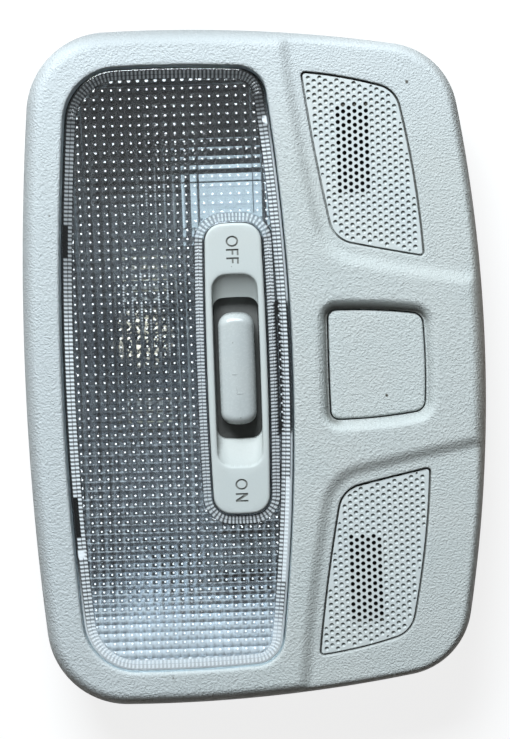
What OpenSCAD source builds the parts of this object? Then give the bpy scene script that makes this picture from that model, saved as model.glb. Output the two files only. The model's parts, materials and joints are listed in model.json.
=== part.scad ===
// Car interior light: a headliner console lamp with a slide switch, lying face up on its back.
// The long side runs along Y, the light chamber is on the -X side, and Z = 0 is the housing's back.

/* [Bezel] */
// Length of the bezel over its rim, along Y
bezel_length = 190.4; // [182:0.2:200]
// Width of the bezel over its rim, along X
bezel_width = 130.2; // [126:0.2:136]
// Height of the raised face above the rim's back edge
bezel_depth = 13; // [12:0.5:16]
// Distance from the housing's back up to the rim's back edge
rim_z = 22; // [20:0.5:26]
// Width of the rounded skirt around the face
skirt_width = 5; // [4:0.1:6]
// Wall of the skirt
skirt_wall = 2.4; // [1.8:0.1:3]
// Wall of the face in the sunken zones
zone_wall = 1.9; // [1.5:0.1:2.5]
// Depth of the sunken zones below the raised face
zone_depth = 1.5; // [1:0.1:2]
// Margin from a grille to its zone's crease
zone_margin = 4.2; // [3.5:0.1:5]

/* [Lens] */
// Margin from the bezel's left rim to the lens opening
lens_margin = 11; // [10:0.2:13]
// Share of the bezel's width that the lens opening takes
lens_share = 0.497; // [0.48:0.001:0.51]
// Margin from the bezel's ends to the lens opening
lens_end_margin = 10.5; // [9.5:0.1:12]
// Gap around the lens
lens_gap = 0.5; // [0.3:0.05:0.8]
// Thickness of the lens
lens_wall = 2.2; // [1.8:0.1:3]
// How far the lens sits below the raised face
lens_drop = 0.6; // [0.2:0.1:1.5]

/* [Switch] */
// Width of the switch plate
plate_width = 16.75; // [15:0.25:19]
// Length of the switch plate
plate_length = 81.2; // [78:0.2:86]
// Width of the finger well
well_width = 12.9; // [12:0.1:14]
// Length of the finger well at the face
well_length = 53.5; // [51:0.5:58]
// Width of the knob
knob_width = 10.1; // [9:0.1:10.9]
// Length of the knob
knob_length = 31.1; // [28:0.1:34]
// Travel of the knob to each side of its middle position
knob_travel = 4.2; // [3:0.1:5]
// How far the knob stands above the raised face
knob_proud = 2.2; // [1.5:0.1:3]
// Running clearance of the sliding pieces
slide_gap = 0.2; // [0.15:0.05:0.3]

/* [Cover and grilles] */
// Width of the blank cover, along X
cover_width = 26.6; // [24:0.2:28]
// Length of the blank cover, along Y
cover_length = 30.3; // [27:0.1:32]
// Gap around the cover
cover_gap = 0.45; // [0.3:0.05:0.6]
// Depth of the cover's top below the raised face
cover_drop = 2.7; // [2:0.1:3.2]
// Thickness of a grille
grille_wall = 1.4; // [1.2:0.1:2]
// Depth of a grille below its zone
grille_drop = 0.8; // [0.4:0.1:1.2]
// Diameter of a grille's holes
hole_d = 1.15; // [0.9:0.05:1.3]
// Distance between columns of grille holes
hole_pitch_x = 1.575; // [1.5:0.025:1.8]
// Distance between the holes of a column
hole_pitch_y = 1.91; // [1.8:0.01:2.2]

/* [Housing] */
// Wall of the rear housing
housing_wall = 2; // [1.6:0.1:2.4]
// Thickness of the floor of the rear housing
housing_floor = 2; // [1.6:0.1:2.4]
// Distance between the two roof screws
roof_screw_pitch = 132; // [126:1:136]
// Radius of the roof screw holes
roof_screw_r = 2.25; // [2:0.05:2.6]
// Wall of the reflector
reflector_wall = 1.2; // [1:0.1:1.6]
// Length of the bulb over its tips
bulb_length = 41.8; // [39:0.2:44]
// Diameter of the bulb's glass
bulb_d = 10; // [9:0.1:11]
// Width of the busbars
busbar_width = 3; // [2.4:0.1:3.2]
// Thickness of the busbars
busbar_wall = 0.8; // [0.6:0.05:0.8]
// Width of the connector socket
socket_width = 18; // [17:0.5:22]
// Height of the connector socket
socket_height = 12; // [11:0.5:13]
// Depth of the connector socket
socket_depth = 14; // [13:0.5:15]

/* [Hidden] */
$fn = 48;
eps = 0.1;

// Colours
shell_grey = [0.78, 0.80, 0.78];
plate_grey = [0.74, 0.76, 0.75];
clear_plastic = [0.85, 0.90, 0.93, 0.45];
dark_plastic = [0.10, 0.10, 0.11];
white_plastic = [0.88, 0.88, 0.86];
tinned_brass = [0.80, 0.76, 0.62];
spring_steel = [0.62, 0.63, 0.65];
bulb_clear = [0.90, 0.94, 0.96, 0.35];

// Levels, from the back to the face
seat_lift = 2;
plate_proud = 0.9;
plate_height = 7.6;
flange_gap = 0.3;
flange_wall = 1.2;
channel_depth = 12;
face_z = rim_z + bezel_depth;
zone_z = face_z - zone_depth;
inner_z = zone_z - zone_wall;
seat_z = rim_z + seat_lift;
lens_z = face_z - lens_drop;
plate_z = face_z + plate_proud;
plate_back_z = plate_z - plate_height;
knob_z = face_z + knob_proud;
flange_z = plate_back_z - flange_gap;
rail_z = flange_z - flange_wall - slide_gap;
contact_z = rail_z - channel_depth;
cover_z = face_z - cover_drop;
grille_z = zone_z - grille_drop;

// Outlines. A side is [centre, radius] of the arc that bounds the shape, and the sides run anticlockwise.
corner_steps = 9;
side_steps = 6;

function heading(v) = atan2(v[1], v[0]);
function ahead(a, b) = a + ((b - a) % 360 + 360) % 360;
function on_arc(c, r, a) = c + r * [cos(a), sin(a)];

// Where two circles meet, on the left of the line from the first centre to the second
function meet(c1, r1, c2, r2) =
    let (v = c2 - c1, d = norm(v), u = v / d, a = (d * d + r1 * r1 - r2 * r2) / (2 * d))
    c1 + a * u + sqrt(r1 * r1 - a * a) * [-u[1], u[0]];

// The side through two points, bulging to the right of the way from p to q
function side(p, q, r) =
    let (v = q - p, d = norm(v), u = v / d)
    [(p + q) / 2 + sqrt(r * r - d * d / 4) * [-u[1], u[0]], r];

// Corner i lies between side i and side i + 1. A positive inset shrinks the whole outline.
function outline(sides, radii, inset = 0) =
    let (n = len(sides),
         mid = [for (i = [0:n - 1]) let (j = (i + 1) % n)
                meet(sides[i][0], sides[i][1] - radii[i], sides[j][0], sides[j][1] - radii[i])])
    [for (i = [0:n - 1])
        let (j = (i + 1) % n,
             a = heading(mid[i] - sides[i][0]),
             b = ahead(a, heading(mid[i] - sides[j][0])),
             e = ahead(b, heading(mid[j] - sides[j][0])),
             r = max(radii[i] - inset, 0.05))
        each concat([for (k = [0:corner_steps]) on_arc(mid[i], r, a + (b - a) * k / corner_steps)],
                    [for (k = [1:side_steps - 1])
                        on_arc(sides[j][0], sides[j][1] - inset, b + (e - b) * k / side_steps)])];

// Sides of a shape around a centre: right, top, left and bottom arcs, as [half width, half length] and radii
function around(c, half, bulge) =
    [[c + [half[0] - bulge[0], 0], bulge[0]], [c + [0, half[1] - bulge[1]], bulge[1]],
     [c - [half[0] - bulge[2], 0], bulge[2]], [c - [0, half[1] - bulge[1]], bulge[1]]];

// Sides from the places of the right and left sides' middles on X and of both ends on Y, and the arcs' radii
function bounded(left, right, end, apex_x, bulge) =
    [[[right - bulge[0], 0], bulge[0]], [[apex_x, end - bulge[1]], bulge[1]],
     [[left + bulge[2], 0], bulge[2]], [[apex_x, bulge[1] - end], bulge[1]]];

module prism(points, z0, z1) {
    translate([0, 0, z0]) linear_extrude(z1 - z0) polygon(points);
}

// A closed solid through outlines with equal numbers of points, each given as [points, z], from low to high
module loft(rings) {
    n = len(rings[0][0]);
    m = len(rings);
    polyhedron(
        points = [for (ring = rings) for (p = ring[0]) [p[0], p[1], ring[1]]],
        faces = concat([[for (i = [0:n - 1]) i]],
                       [for (k = [0:m - 2]) for (i = [0:n - 1]) let (j = (i + 1) % n)
                           [k * n + i, (k + 1) * n + i, (k + 1) * n + j, k * n + j]],
                       [[for (i = [n - 1:-1:0]) (m - 1) * n + i]]));
}

module box(low, high) {
    translate(low) cube(high - low);
}

// Bezel outline: apex_share tells where the curved ends reach furthest
apex_share = -0.221;
bezel_bulge = [425, 420, 800];
bezel_sides = bounded(-bezel_width / 2, bezel_width / 2, bezel_length / 2, apex_share * bezel_width,
                      bezel_bulge);
bezel_radii = [21, 23, 23, 21];
function bezel_line(inset = 0) = outline(bezel_sides, bezel_radii, inset);

// Lens opening
lens_width = lens_share * bezel_width;
lens_length = bezel_length - 2 * lens_end_margin;
lens_left = lens_margin - bezel_width / 2;
lens_right = lens_left + lens_width;
lens_apex_share = 0.42;
lens_bulge = [600, 380, 800];
lens_sides = bounded(lens_left, lens_right, lens_length / 2, lens_left + lens_apex_share * lens_width,
                     lens_bulge);
lens_radii = [8.5, 15.5, 15.5, 8.5];
function lens_line(inset = 0) = outline(lens_sides, lens_radii, inset);

// Switch plate, finger well, pit and knob
switch_inset = 15.6;
switch_x = lens_right - switch_inset;
plate_bulge = [1200, 45, 1200];
plate_corner = 5;
plate_sides = around([switch_x, 0], [plate_width, plate_length] / 2, plate_bulge);
function four(r) = [r, r, r, r];
function plate_line(inset = 0) = outline(plate_sides, four(plate_corner), inset);
pit_length = knob_length + 2 * (knob_travel + slide_gap);
well_y = -0.4;
well_bulge = [2000, 60, 2000];
well_corner = 4;
pit_corner = 3;
knob_bulge = [900, 14, 900];
knob_corner = 3.4;
well_sides = around([switch_x, well_y], [well_width, well_length] / 2, well_bulge);
pit_sides = around([switch_x, 0], [well_width, pit_length] / 2, well_bulge);
knob_sides = around([switch_x, 0], [knob_width, knob_length] / 2, knob_bulge);
function pit_line() = outline(pit_sides, four(pit_corner));
function knob_line(inset = 0) = outline(knob_sides, four(knob_corner), inset);
plate_gap = 0.3;
flange_overlap = 0.6;
flange_width = well_width - 0.3;
flange_length = pit_length + 2 * (knob_travel + flange_overlap);

// Blank cover
cover_share = 0.1872;
cover_inset = cover_share * (bezel_width / 2 - lens_right);
cover_x = lens_right + cover_inset + cover_width / 2;
cover_apex = 10;
cover_bulge = [200, 140, 900];
cover_sides = bounded(cover_x - cover_width / 2, cover_x + cover_width / 2, cover_length / 2,
                      cover_x - cover_apex, cover_bulge);
cover_radii = [3, 2.2, 2.2, 3];
function cover_line(inset = 0) = outline(cover_sides, cover_radii, inset);

// Upper grille, from its corners before rounding: near, far, far inner, near inner.
// The corners keep their margins from the bezel's right rim and the lens, and from its end and the cover.
rim_margins = [16.8, 23.4];
lens_margins = [4.54, 12.29];
end_margins = [19.1, 13.2];
cover_margins = [14.15, 19.65];
grille_corners = [[bezel_width / 2 - rim_margins[0], cover_length / 2 + cover_margins[0]],
                  [bezel_width / 2 - rim_margins[1], bezel_length / 2 - end_margins[0]],
                  [lens_right + lens_margins[0], bezel_length / 2 - end_margins[1]],
                  [lens_right + lens_margins[1], cover_length / 2 + cover_margins[1]]];
grille_bulge = [260, 120, 510, 600];
grille_sides = [for (i = [0:3]) side(grille_corners[i], grille_corners[(i + 1) % 4], grille_bulge[i])];
grille_radii = [8, 1.3, 8, 1.2];
grille_lip = 0.6;
grille_gap = 0.2;
function grille_line(inset = 0) = outline(grille_sides, grille_radii, inset);

// The sunken zone follows the grille on its inner sides and runs out over the bezel's edge
zone_reach = 20;
zone_bias = 0.8;
zone_bulge = 2000;
crease_half = 1.25;
zone_sides = [[[bezel_width / 2 + zone_reach - zone_bulge, 0], zone_bulge],
              [[0, bezel_length / 2 + zone_reach - zone_bulge], zone_bulge],
              [grille_sides[2][0], grille_sides[2][1] - zone_bias], grille_sides[3]];
zone_radii = [1, 1, 8, 1];
function zone_line(inset = 0) = outline(zone_sides, zone_radii, inset);

// Open patch of holes
patch_shift = [0.77, 7.2];
patch_x = (grille_corners[1][0] + grille_corners[2][0]) / 2 + patch_shift[0];
patch_y = (grille_corners[0][1] + grille_corners[1][1]) / 2 + patch_shift[1];
patch_columns = 6;
patch_share = 0.5;
patch_rows = floor(patch_share * (grille_corners[1][1] - grille_corners[0][1]) / hole_pitch_y);

module mirrored_y() {
    children();
    mirror([0, 1, 0]) children();
}

// Screws that join the rear housing to the bezel
screw_r = 1.4;
screw_gap = 0.05;
screw_bite = 6.3;
boss_r = 3;
screw_side = 5.9;
cover_to_screw = 7.65;
screw_out = 7.2;
screw_turn = 31;
lens_corner = meet(lens_sides[0][0], lens_sides[0][1] - lens_radii[0],
                   lens_sides[1][0], lens_sides[1][1] - lens_radii[0]);
screw_spots = [[lens_right + screw_side, cover_length / 2 + cover_to_screw],
               on_arc(lens_corner, lens_radii[0] + screw_out, screw_turn)];

module at_screws() {
    for (spot = screw_spots) mirrored_y() translate(spot) children();
}

// Towers for the spring clips
tower_inset = 11;
tower_end = 45.2;
tower_x = bezel_width / 2 - tower_inset;
tower_y = bezel_length / 2 - tower_end;
tower = [3, 9];
tower_z = 8;

// Hooks that hold the rear housing's flange along the left side
hook_end = 32.7;
hook_y = [hook_end - lens_length / 2, 0, lens_length / 2 - hook_end];
hook_gap = 0.4;
hook_wall = 1.6;
hook_half = 4;
hook_reach = 2.6;
nose_height = 1.4;
nose_gap = 0.1;
flange_out = 3.6;
housing_flange = 1.5;
hook_x = lens_left - flange_out - hook_gap;

// The skirt's section is a quarter of an ellipse above a short straight land
skirt_land = 1.5;
skirt_turns = 6;
skirt_thinning = 0.4;
function skirt_rings(wall, top_z) =
    concat([[bezel_line(wall), rim_z - (wall > 0 ? eps : 0)]],
           [for (k = [0:skirt_turns]) let (t = 90 * k / skirt_turns)
               [bezel_line(wall + (skirt_width - skirt_thinning * wall) * (1 - cos(t))),
                rim_z + skirt_land + (top_z - rim_z - skirt_land) * sin(t)]]);

module bezel_shell() {
    difference() {
        loft(skirt_rings(0, face_z));
        loft(skirt_rings(skirt_wall, inner_z));
    }
}

module zone_cut() {
    loft([[zone_line(crease_half - zone_margin), zone_z],
          [zone_line(-crease_half - zone_margin), face_z + eps]]);
}

// Walls that hang from the face's underside run this far into it
sink = 0.5;
ring_wall = 1.8;
tray_wall = 1.8;
ledge = 2;
ledge_wall = 1.8;
collar_wall = 2.4;
collar_height = 5.6;
collar_z = cover_z - collar_height;
recess_drop = 0.3;
recess_foot = 1.2;
recess_flare = 3.1;

module grille_tray() {
    difference() {
        prism(grille_line(-tray_wall), grille_z - grille_wall - ledge_wall, inner_z + sink + eps);
        prism(grille_line(ledge), grille_z - grille_wall - ledge_wall - 1, face_z);
    }
}

module bezel_hook(y) {
    nose_z = seat_z - housing_flange;
    box([hook_x - hook_wall, y - hook_half, nose_z - nose_height],
        [hook_x, y + hook_half, inner_z + sink - eps]);
    box([hook_x - eps, y - hook_half, nose_z - nose_height],
        [hook_x + hook_reach, y + hook_half, nose_z - nose_gap]);
}

module bezel() {
    color(shell_grey) difference() {
        union() {
            bezel_shell();
            prism(lens_line(-ring_wall), seat_z, inner_z + sink);
            prism(cover_line(-cover_gap - collar_wall), collar_z, inner_z + sink);
            mirrored_y() grille_tray();
            at_screws() translate([0, 0, seat_z]) cylinder(r = boss_r, h = inner_z + sink - seat_z);
            mirrored_y() box([tower_x - tower[0] / 2, tower_y - tower[1] / 2, tower_z],
                             [tower_x + tower[0] / 2, tower_y + tower[1] / 2, inner_z + sink - eps]);
            for (y = hook_y) bezel_hook(y);
        }
        prism(lens_line(), seat_z - eps, face_z + eps);
        mirrored_y() zone_cut();
        mirrored_y() loft([[grille_line(grille_lip - grille_gap), grille_z - grille_wall],
                           [grille_line(grille_lip - grille_gap), grille_z + 0.2],
                           [grille_line(-0.2), zone_z], [grille_line(-0.4), face_z]]);
        mirrored_y() prism(grille_line(ledge), rim_z, face_z);
        loft([[cover_line(-recess_foot), cover_z - recess_drop], [cover_line(-recess_flare), face_z + eps]]);
        prism(cover_line(-cover_gap), collar_z - eps, face_z);
        mirrored_y() prism(holder_line(-holder_gap), holder_z - holder_height, holder_z + eps);
        at_screws() translate([0, 0, seat_z - eps])
            cylinder(r = screw_r + screw_gap, h = screw_bite + sink + eps);
    }
}

lens_side = 1.6;

module lens() {
    collar = 1.5;
    rounding = 1.2;
    color(clear_plastic) difference() {
        union() {
            difference() {
                loft([[lens_line(lens_gap), seat_z], [lens_line(lens_gap), lens_z - rounding],
                      [lens_line(lens_gap + 0.3 * rounding), lens_z - 0.3 * rounding],
                      [lens_line(lens_gap + rounding), lens_z]]);
                prism(lens_line(lens_gap + lens_side), seat_z - eps, lens_z - lens_wall);
            }
            prism(plate_line(-plate_gap - collar), plate_back_z, lens_z - lens_wall / 2);
        }
        prism(plate_line(-plate_gap), seat_z, face_z + eps);
    }
}

well_depth = 4.4;
plate_round = 0.8;
plate_skirt = 1.4;
plate_wall = 1.8;

module switch_plate() {
    color(plate_grey) difference() {
        union() {
            difference() {
                loft([[plate_line(), plate_back_z], [plate_line(), plate_z - plate_round],
                      [plate_line(0.3 * plate_round), plate_z - 0.3 * plate_round],
                      [plate_line(plate_round), plate_z]]);
                prism(plate_line(plate_skirt), plate_back_z - eps, plate_z - plate_wall);
            }
            prism(outline(around([switch_x, 0], [plate_width - 2, well_length + 4] / 2, well_bulge),
                          four(pit_corner)), plate_back_z, plate_z - plate_wall / 2);
        }
        loft([[pit_line(), plate_back_z - eps], [pit_line(), plate_z - well_depth],
              [outline(well_sides, four(well_corner)), plate_z + eps]]);
    }
}

// How the knob's edge rounds over: inset and depth below its top
knob_steps = [[0, 3], [0.35, 1.6], [1.2, 0.6], [2.6, 0]];

module switch_knob() {
    knob_wall = 1.6;
    roof_wall = 2.8;
    color(plate_grey) difference() {
        union() {
            loft(concat([[knob_line(), flange_z - flange_wall / 2]],
                        [for (step = knob_steps) [knob_line(step[0]), knob_z - step[1]]]));
            box([switch_x - flange_width / 2, -flange_length / 2, flange_z - flange_wall],
                [switch_x + flange_width / 2, flange_length / 2, flange_z]);
        }
        prism(knob_line(knob_wall), flange_z - flange_wall - eps, knob_z - roof_wall);
    }
}

carriage_width = 8.6;
carriage_length = 17;
carriage_lift = 1.6;
carriage_z0 = contact_z + carriage_lift;
notch_r = 1.3;

module contact_carriage() {
    color(white_plastic) difference() {
        box([switch_x - carriage_width / 2, -carriage_length / 2, carriage_z0],
            [switch_x + carriage_width / 2, carriage_length / 2, flange_z - flange_wall]);
        for (k = [-1:1]) translate([switch_x - carriage_width / 2, k * knob_travel, carriage_z0 - eps])
            cylinder(r = notch_r, h = flange_z);
    }
}

pad_wall = 0.6;
pad_half = 1.2;
pad_z = contact_z + pad_wall;
contact_gap = 0.1;
lane = 2.1;

module contact_bridge() {
    bridge_wall = 0.6;
    bridge_half = 3;
    dome_r = 0.9;
    color(tinned_brass) {
        box([switch_x - lane - pad_half, -bridge_half, carriage_z0 - bridge_wall],
            [switch_x + lane + pad_half, bridge_half, carriage_z0]);
        for (s = [-1, 1]) translate([switch_x + s * lane, 0, pad_z + contact_gap])
            cylinder(r = dome_r, h = carriage_z0 - bridge_wall - pad_z);
    }
}

cavity_gap = 0.3;
cavity_width = well_width + 0.1;
channel_width = carriage_width + 1.6;
channel_spare = 4;
channel_length = carriage_length + 2 * knob_travel + channel_spare;
cavity_length = flange_length + 2 * (knob_travel + cavity_gap);
spring_wall = 0.3;

module detent_spring() {
    // A leaf along the channel's left wall, with a bump facing the carriage
    x = switch_x - channel_width / 2;
    above = 2;
    height = 4;
    z = [carriage_z0 + above, carriage_z0 + above + height];
    half_length = 14;
    bump_r = 0.75;
    bump_back = 0.2;
    color(spring_steel) {
        box([x, -half_length, z[0]], [x + spring_wall, half_length, z[1]]);
        intersection() {
            translate([x - bump_back, 0, z[0]]) cylinder(r = bump_r, h = z[1] - z[0]);
            box([x + spring_wall / 2, -bump_r, z[0]], [x + bump_r, bump_r, z[1]]);
        }
    }
}

feet_z = housing_floor;
leg_gap = 0.4;
leg_z = feet_z + busbar_wall + leg_gap;
shelf_drop = 9.5;
shelf_z = lens_z - shelf_drop;
shelf_side = [11.6, 9.4];
shelf_x = [switch_x - shelf_side[0], switch_x + shelf_side[1]];
// Each shelf ends beyond the plate, but keeps clear of the lens's end
shelf_reach = [14.6, 19.4];
shelf_clear = [29, 24];
shelf_end = [-min(plate_length / 2 + shelf_reach[1], lens_length / 2 - shelf_clear[1]),
             min(plate_length / 2 + shelf_reach[0], lens_length / 2 - shelf_clear[0])];
shelf_root = plate_length / 2 - 4;
shelf_wall = 1.2;
foot = [5, 2.5];
louvre_places = [1.8, 13.8];
louvres = [for (place = louvre_places) shelf_end[0] + place];
louvre = [8, 2.6];
riser_x0 = switch_x - lane - pad_half;

module shelf(y0, y1) {
    // End shelves of the switch housing, seen through the lens beyond the switch plate
    box([shelf_x[0], y0, leg_z], [shelf_x[1], y1, shelf_z]);
}

// Room for a riser and its contact pad
module riser_slot(low, high) {
    slot = 0.3;
    box([low[0] - slot, low[1] - slot, contact_z - 2], [high[0] + slot, high[1] + slot, contact_z + eps]);
}

module switch_housing() {
    floor_wall = 1.5;
    side_wall = 2;
    end_wall = 5;
    color(plate_grey) difference() {
        union() {
            prism(plate_line(plate_gap), leg_z, plate_back_z);
            shelf(shelf_root, shelf_end[1]);
            shelf(shelf_end[0], -shelf_root);
            for (s = [-1, 1]) mirrored_y()
                translate([switch_x + s * foot[0], plate_length / 2 - foot[1], feet_z])
                    cylinder(r = 1.5, h = leg_z - feet_z + eps);
            // the shelves' end walls stand on the floor
            for (y = [shelf_end[1] - shelf_wall, shelf_end[0]])
                box([shelf_x[0], y, feet_z], [shelf_x[1], y + shelf_wall, leg_z + eps]);
        }
        // travel space for the knob's flange, the carriage's channel and the space below the contacts
        box([switch_x - cavity_width / 2, -cavity_length / 2, rail_z],
            [switch_x + cavity_width / 2, cavity_length / 2, plate_back_z + eps]);
        box([switch_x - channel_width / 2, -channel_length / 2, contact_z],
            [switch_x + channel_width / 2, channel_length / 2, rail_z + eps]);
        box([switch_x - plate_width / 2 + side_wall, end_wall - plate_length / 2, leg_z - eps],
            [switch_x + plate_width / 2 - side_wall, plate_length / 2 - end_wall, contact_z - floor_wall]);
        for (y = [0, ground_y])
            riser_slot([riser_x0, y - busbar_width / 2], [riser_x0 + busbar_wall, y + busbar_width / 2]);
        riser_slot([switch_x + lane - pad_half, lamp_y - busbar_wall / 2],
                   [switch_x + lane + pad_half, lamp_y + busbar_wall / 2]);
        // hollow under each shelf
        box([shelf_x[0] + shelf_wall, plate_length / 2 + 1, leg_z - eps],
            [shelf_x[1] - shelf_wall, shelf_end[1] - shelf_wall, shelf_z - shelf_wall]);
        box([shelf_x[0] + shelf_wall, shelf_end[0] + shelf_wall, leg_z - eps],
            [shelf_x[1] - shelf_wall, -plate_length / 2 - 1, shelf_z - shelf_wall]);
        // the two louvres of the lower shelf
        for (y = louvres) box([switch_x - louvre[0], y, shelf_z - shelf_wall - 1],
                              [switch_x + louvre[0], y + louvre[1], shelf_z + eps]);
    }
}

// Reflector: a basin from the lens's edge down to a floor under the bulb
reflector_z = 8;
basin_end = 27.7;
basin_x = [lens_left + 7, lens_right - 6];
basin_y = lens_length / 2 - basin_end;
basin_bulge = [900, 300, 900];
basin_sides = bounded(basin_x[0], basin_x[1], basin_y, (basin_x[0] + basin_x[1]) / 2, basin_bulge);
basin_radii = [6, 10, 10, 6];
basin_rim = 4;
rim_inset = 2;
rim_top = 1.4;
function basin_rings(inset, lift) =
    [[outline(basin_sides, basin_radii, inset), reflector_z + lift],
     [lens_line(basin_rim + inset), seat_z - rim_top - reflector_wall + (lift > 0 ? 3 * eps : eps)]];

bulb_inset = 24.1;
bulb_x = lens_left + bulb_inset;
bulb_y = 8;
bulb_z = 18;
tip_r = 1.3;
clip_back = 1.3;
clip_y = bulb_length / 2 - clip_back;
clip_width = 8;
pillar_inset = 34;
pillar_x = lens_left + pillar_inset;
pillar_r = 5.2;

module reflector() {
    gap = 0.5;
    color(white_plastic) difference() {
        union() {
            loft(basin_rings(0, 0));
            prism(lens_line(rim_inset), seat_z - rim_top - reflector_wall, seat_z - rim_top);
        }
        loft(concat(basin_rings(reflector_wall, reflector_wall),
                    [[lens_line(basin_rim + reflector_wall), seat_z]]));
        prism(plate_line(-gap), 0, seat_z);
        box([shelf_x[0] - gap, shelf_root - 1, 0], [shelf_x[1] + gap, shelf_end[1] + gap, shelf_z + 1]);
        box([shelf_x[0] - gap, shelf_end[0] - gap, 0], [shelf_x[1] + gap, 1 - shelf_root, shelf_z + 1]);
        for (s = [-1, 1]) {
            translate([pillar_x, s * roof_screw_pitch / 2, 0]) cylinder(r = pillar_r + gap, h = seat_z);
            box([bulb_x - clip_width / 2 - gap, bulb_y + s * clip_y - 2 * gap, 0],
                [bulb_x + clip_width / 2 + gap, bulb_y + s * clip_y + 2 * gap, bulb_z]);
        }
    }
}

glass_wall = 0.7;
seal = 5.7;
glass_length = bulb_length - 2 * seal;
cap_length = 4.7;
tip_length = 2.1;
cap_start = bulb_length / 2 - tip_length - cap_length;

module along_bulb() {
    translate([bulb_x, bulb_y, bulb_z]) rotate([90, 0, 0]) children();
}

module bulb_glass() {
    color(bulb_clear) along_bulb() difference() {
        cylinder(r = bulb_d / 2, h = glass_length, center = true);
        cylinder(r = bulb_d / 2 - glass_wall, h = glass_length + 1, center = true);
    }
}

module bulb_caps() {
    cap_r = bulb_d / 2 + 0.3;
    fit = 0.04;
    end = bulb_length / 2;
    color(spring_steel) along_bulb() for (s = [0, 180]) rotate([s, 0, 0]) difference() {
        rotate_extrude() polygon([[0, cap_start], [cap_r, cap_start], [cap_r, end - 3.6],
                                  [tip_r, end - tip_length], [tip_r, end], [0, end]]);
        difference() {
            translate([0, 0, cap_start - eps])
                cylinder(r = bulb_d / 2 + fit, h = glass_length / 2 - cap_start + eps);
            cylinder(r = bulb_d / 2 - glass_wall - fit, h = end);
        }
    }
}

module bulb_filament() {
    lead_r = 0.25;
    coil_r = 0.55;
    coil_length = 7;
    color(spring_steel) along_bulb() {
        cylinder(r = lead_r, h = 2 * cap_start, center = true);
        cylinder(r = coil_r, h = coil_length, center = true);
    }
}

// Busbars: strips on the housing's floor, with pins in the connector
connector_out = 8.6;
connector_x = cover_x + cover_width / 2 + connector_out;
pin_height = 8;
pin_z = housing_floor + pin_height;
pin_pitch = 4.2;
pin_length = 7.5;
pin_root = 3;
riser_back = 2;
riser_x = connector_x - socket_depth - riser_back;
jog_back = 6;
jog_x = lens_right - jog_back;
ground_y = -pin_pitch;
lamp_y = bulb_y - clip_y;
floor_top = housing_floor + busbar_wall;

module strip_x(x0, x1, y, width = busbar_width) {
    box([min(x0, x1), y - width / 2, housing_floor], [max(x0, x1), y + width / 2, floor_top]);
}

module strip_y(y0, y1, x, width = busbar_width) {
    box([x - width / 2, min(y0, y1), housing_floor], [x + width / 2, max(y0, y1), floor_top]);
}

// Riser and pin at the connector end
module pin(y) {
    pin_width = 1.6;
    box([riser_x, y - busbar_width / 2, housing_floor], [riser_x + busbar_wall, y + busbar_width / 2,
                                                         pin_z + busbar_wall / 2]);
    box([riser_x, y - pin_width / 2, pin_z - busbar_wall / 2],
        [riser_x + pin_root + pin_length, y + pin_width / 2, pin_z + busbar_wall / 2]);
}

// Upright blade with a hole for the bulb's tip
module bulb_clip(s) {
    tip_gap = 0.15;
    above = 4;
    difference() {
        box([bulb_x - clip_width / 2, bulb_y + s * clip_y - busbar_wall / 2, housing_floor],
            [bulb_x + clip_width / 2, bulb_y + s * clip_y + busbar_wall / 2, bulb_z + above]);
        translate([bulb_x, bulb_y + s * clip_y, bulb_z]) rotate([-90, 0, 0])
            cylinder(r = tip_r + tip_gap, h = 2 * busbar_wall, center = true);
    }
}

module busbar_feed() {
    feed_y = bulb_y + clip_y;
    color(tinned_brass) {
        pin(pin_pitch);
        strip_x(jog_x - busbar_width / 2, riser_x + busbar_wall, pin_pitch);
        strip_y(pin_pitch - busbar_width / 2, feed_y + busbar_width / 2, jog_x);
        strip_x(bulb_x, jog_x, feed_y);
        bulb_clip(1);
    }
}

module busbar_lamp() {
    x = [switch_x + lane - pad_half, switch_x + lane + pad_half];
    pad_reach = 4;
    color(tinned_brass) {
        bulb_clip(-1);
        strip_x(bulb_x, x[1], lamp_y);
        box([x[0], lamp_y - busbar_wall / 2, housing_floor], [x[1], lamp_y + busbar_wall / 2, pad_z]);
        box([x[0], lamp_y - busbar_wall / 2, contact_z], [x[1], knob_travel + pad_reach, pad_z]);
    }
}

// A strip from the connector, with a riser to a contact pad on the switch housing's floor
module switched_busbar(y) {
    pad_length = 3.2;
    pin(y);
    strip_x(riser_x0, riser_x + busbar_wall, y);
    box([riser_x0, y - busbar_width / 2, housing_floor],
        [riser_x0 + busbar_wall, y + busbar_width / 2, pad_z]);
    box([riser_x0, y - pad_length / 2, contact_z], [riser_x0 + 2 * pad_half, y + pad_length / 2, pad_z]);
}

module busbar_door() {
    color(tinned_brass) switched_busbar(0);
}

module busbar_ground() {
    color(tinned_brass) switched_busbar(ground_y);
}

socket_wall = 1.3;
socket_back = 1.6;
slot_half = 0.85;
slot_gap = 0.05;
socket_z = pin_z - socket_height / 2;

module connector_shell() {
    color(dark_plastic) difference() {
        box([connector_x - socket_depth, -socket_width / 2, socket_z],
            [connector_x, socket_width / 2, socket_z + socket_height]);
        box([connector_x - socket_depth + socket_back, -socket_width / 2 + socket_wall,
             socket_z + socket_wall],
            [connector_x + 1, socket_width / 2 - socket_wall, socket_z + socket_height - socket_wall]);
        for (k = [-1:1]) box([connector_x - socket_depth - 1, k * pin_pitch - slot_half,
                              pin_z - busbar_wall / 2 - slot_gap],
                             [connector_x - socket_depth / 2, k * pin_pitch + slot_half,
                              pin_z + busbar_wall / 2 + slot_gap]);
    }
}

bay_inset = 3.4;
bay_x = connector_x - bay_inset;
bay_y = 19;
post_inset = 14;
post_y = [-40, 0, 48];

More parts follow.
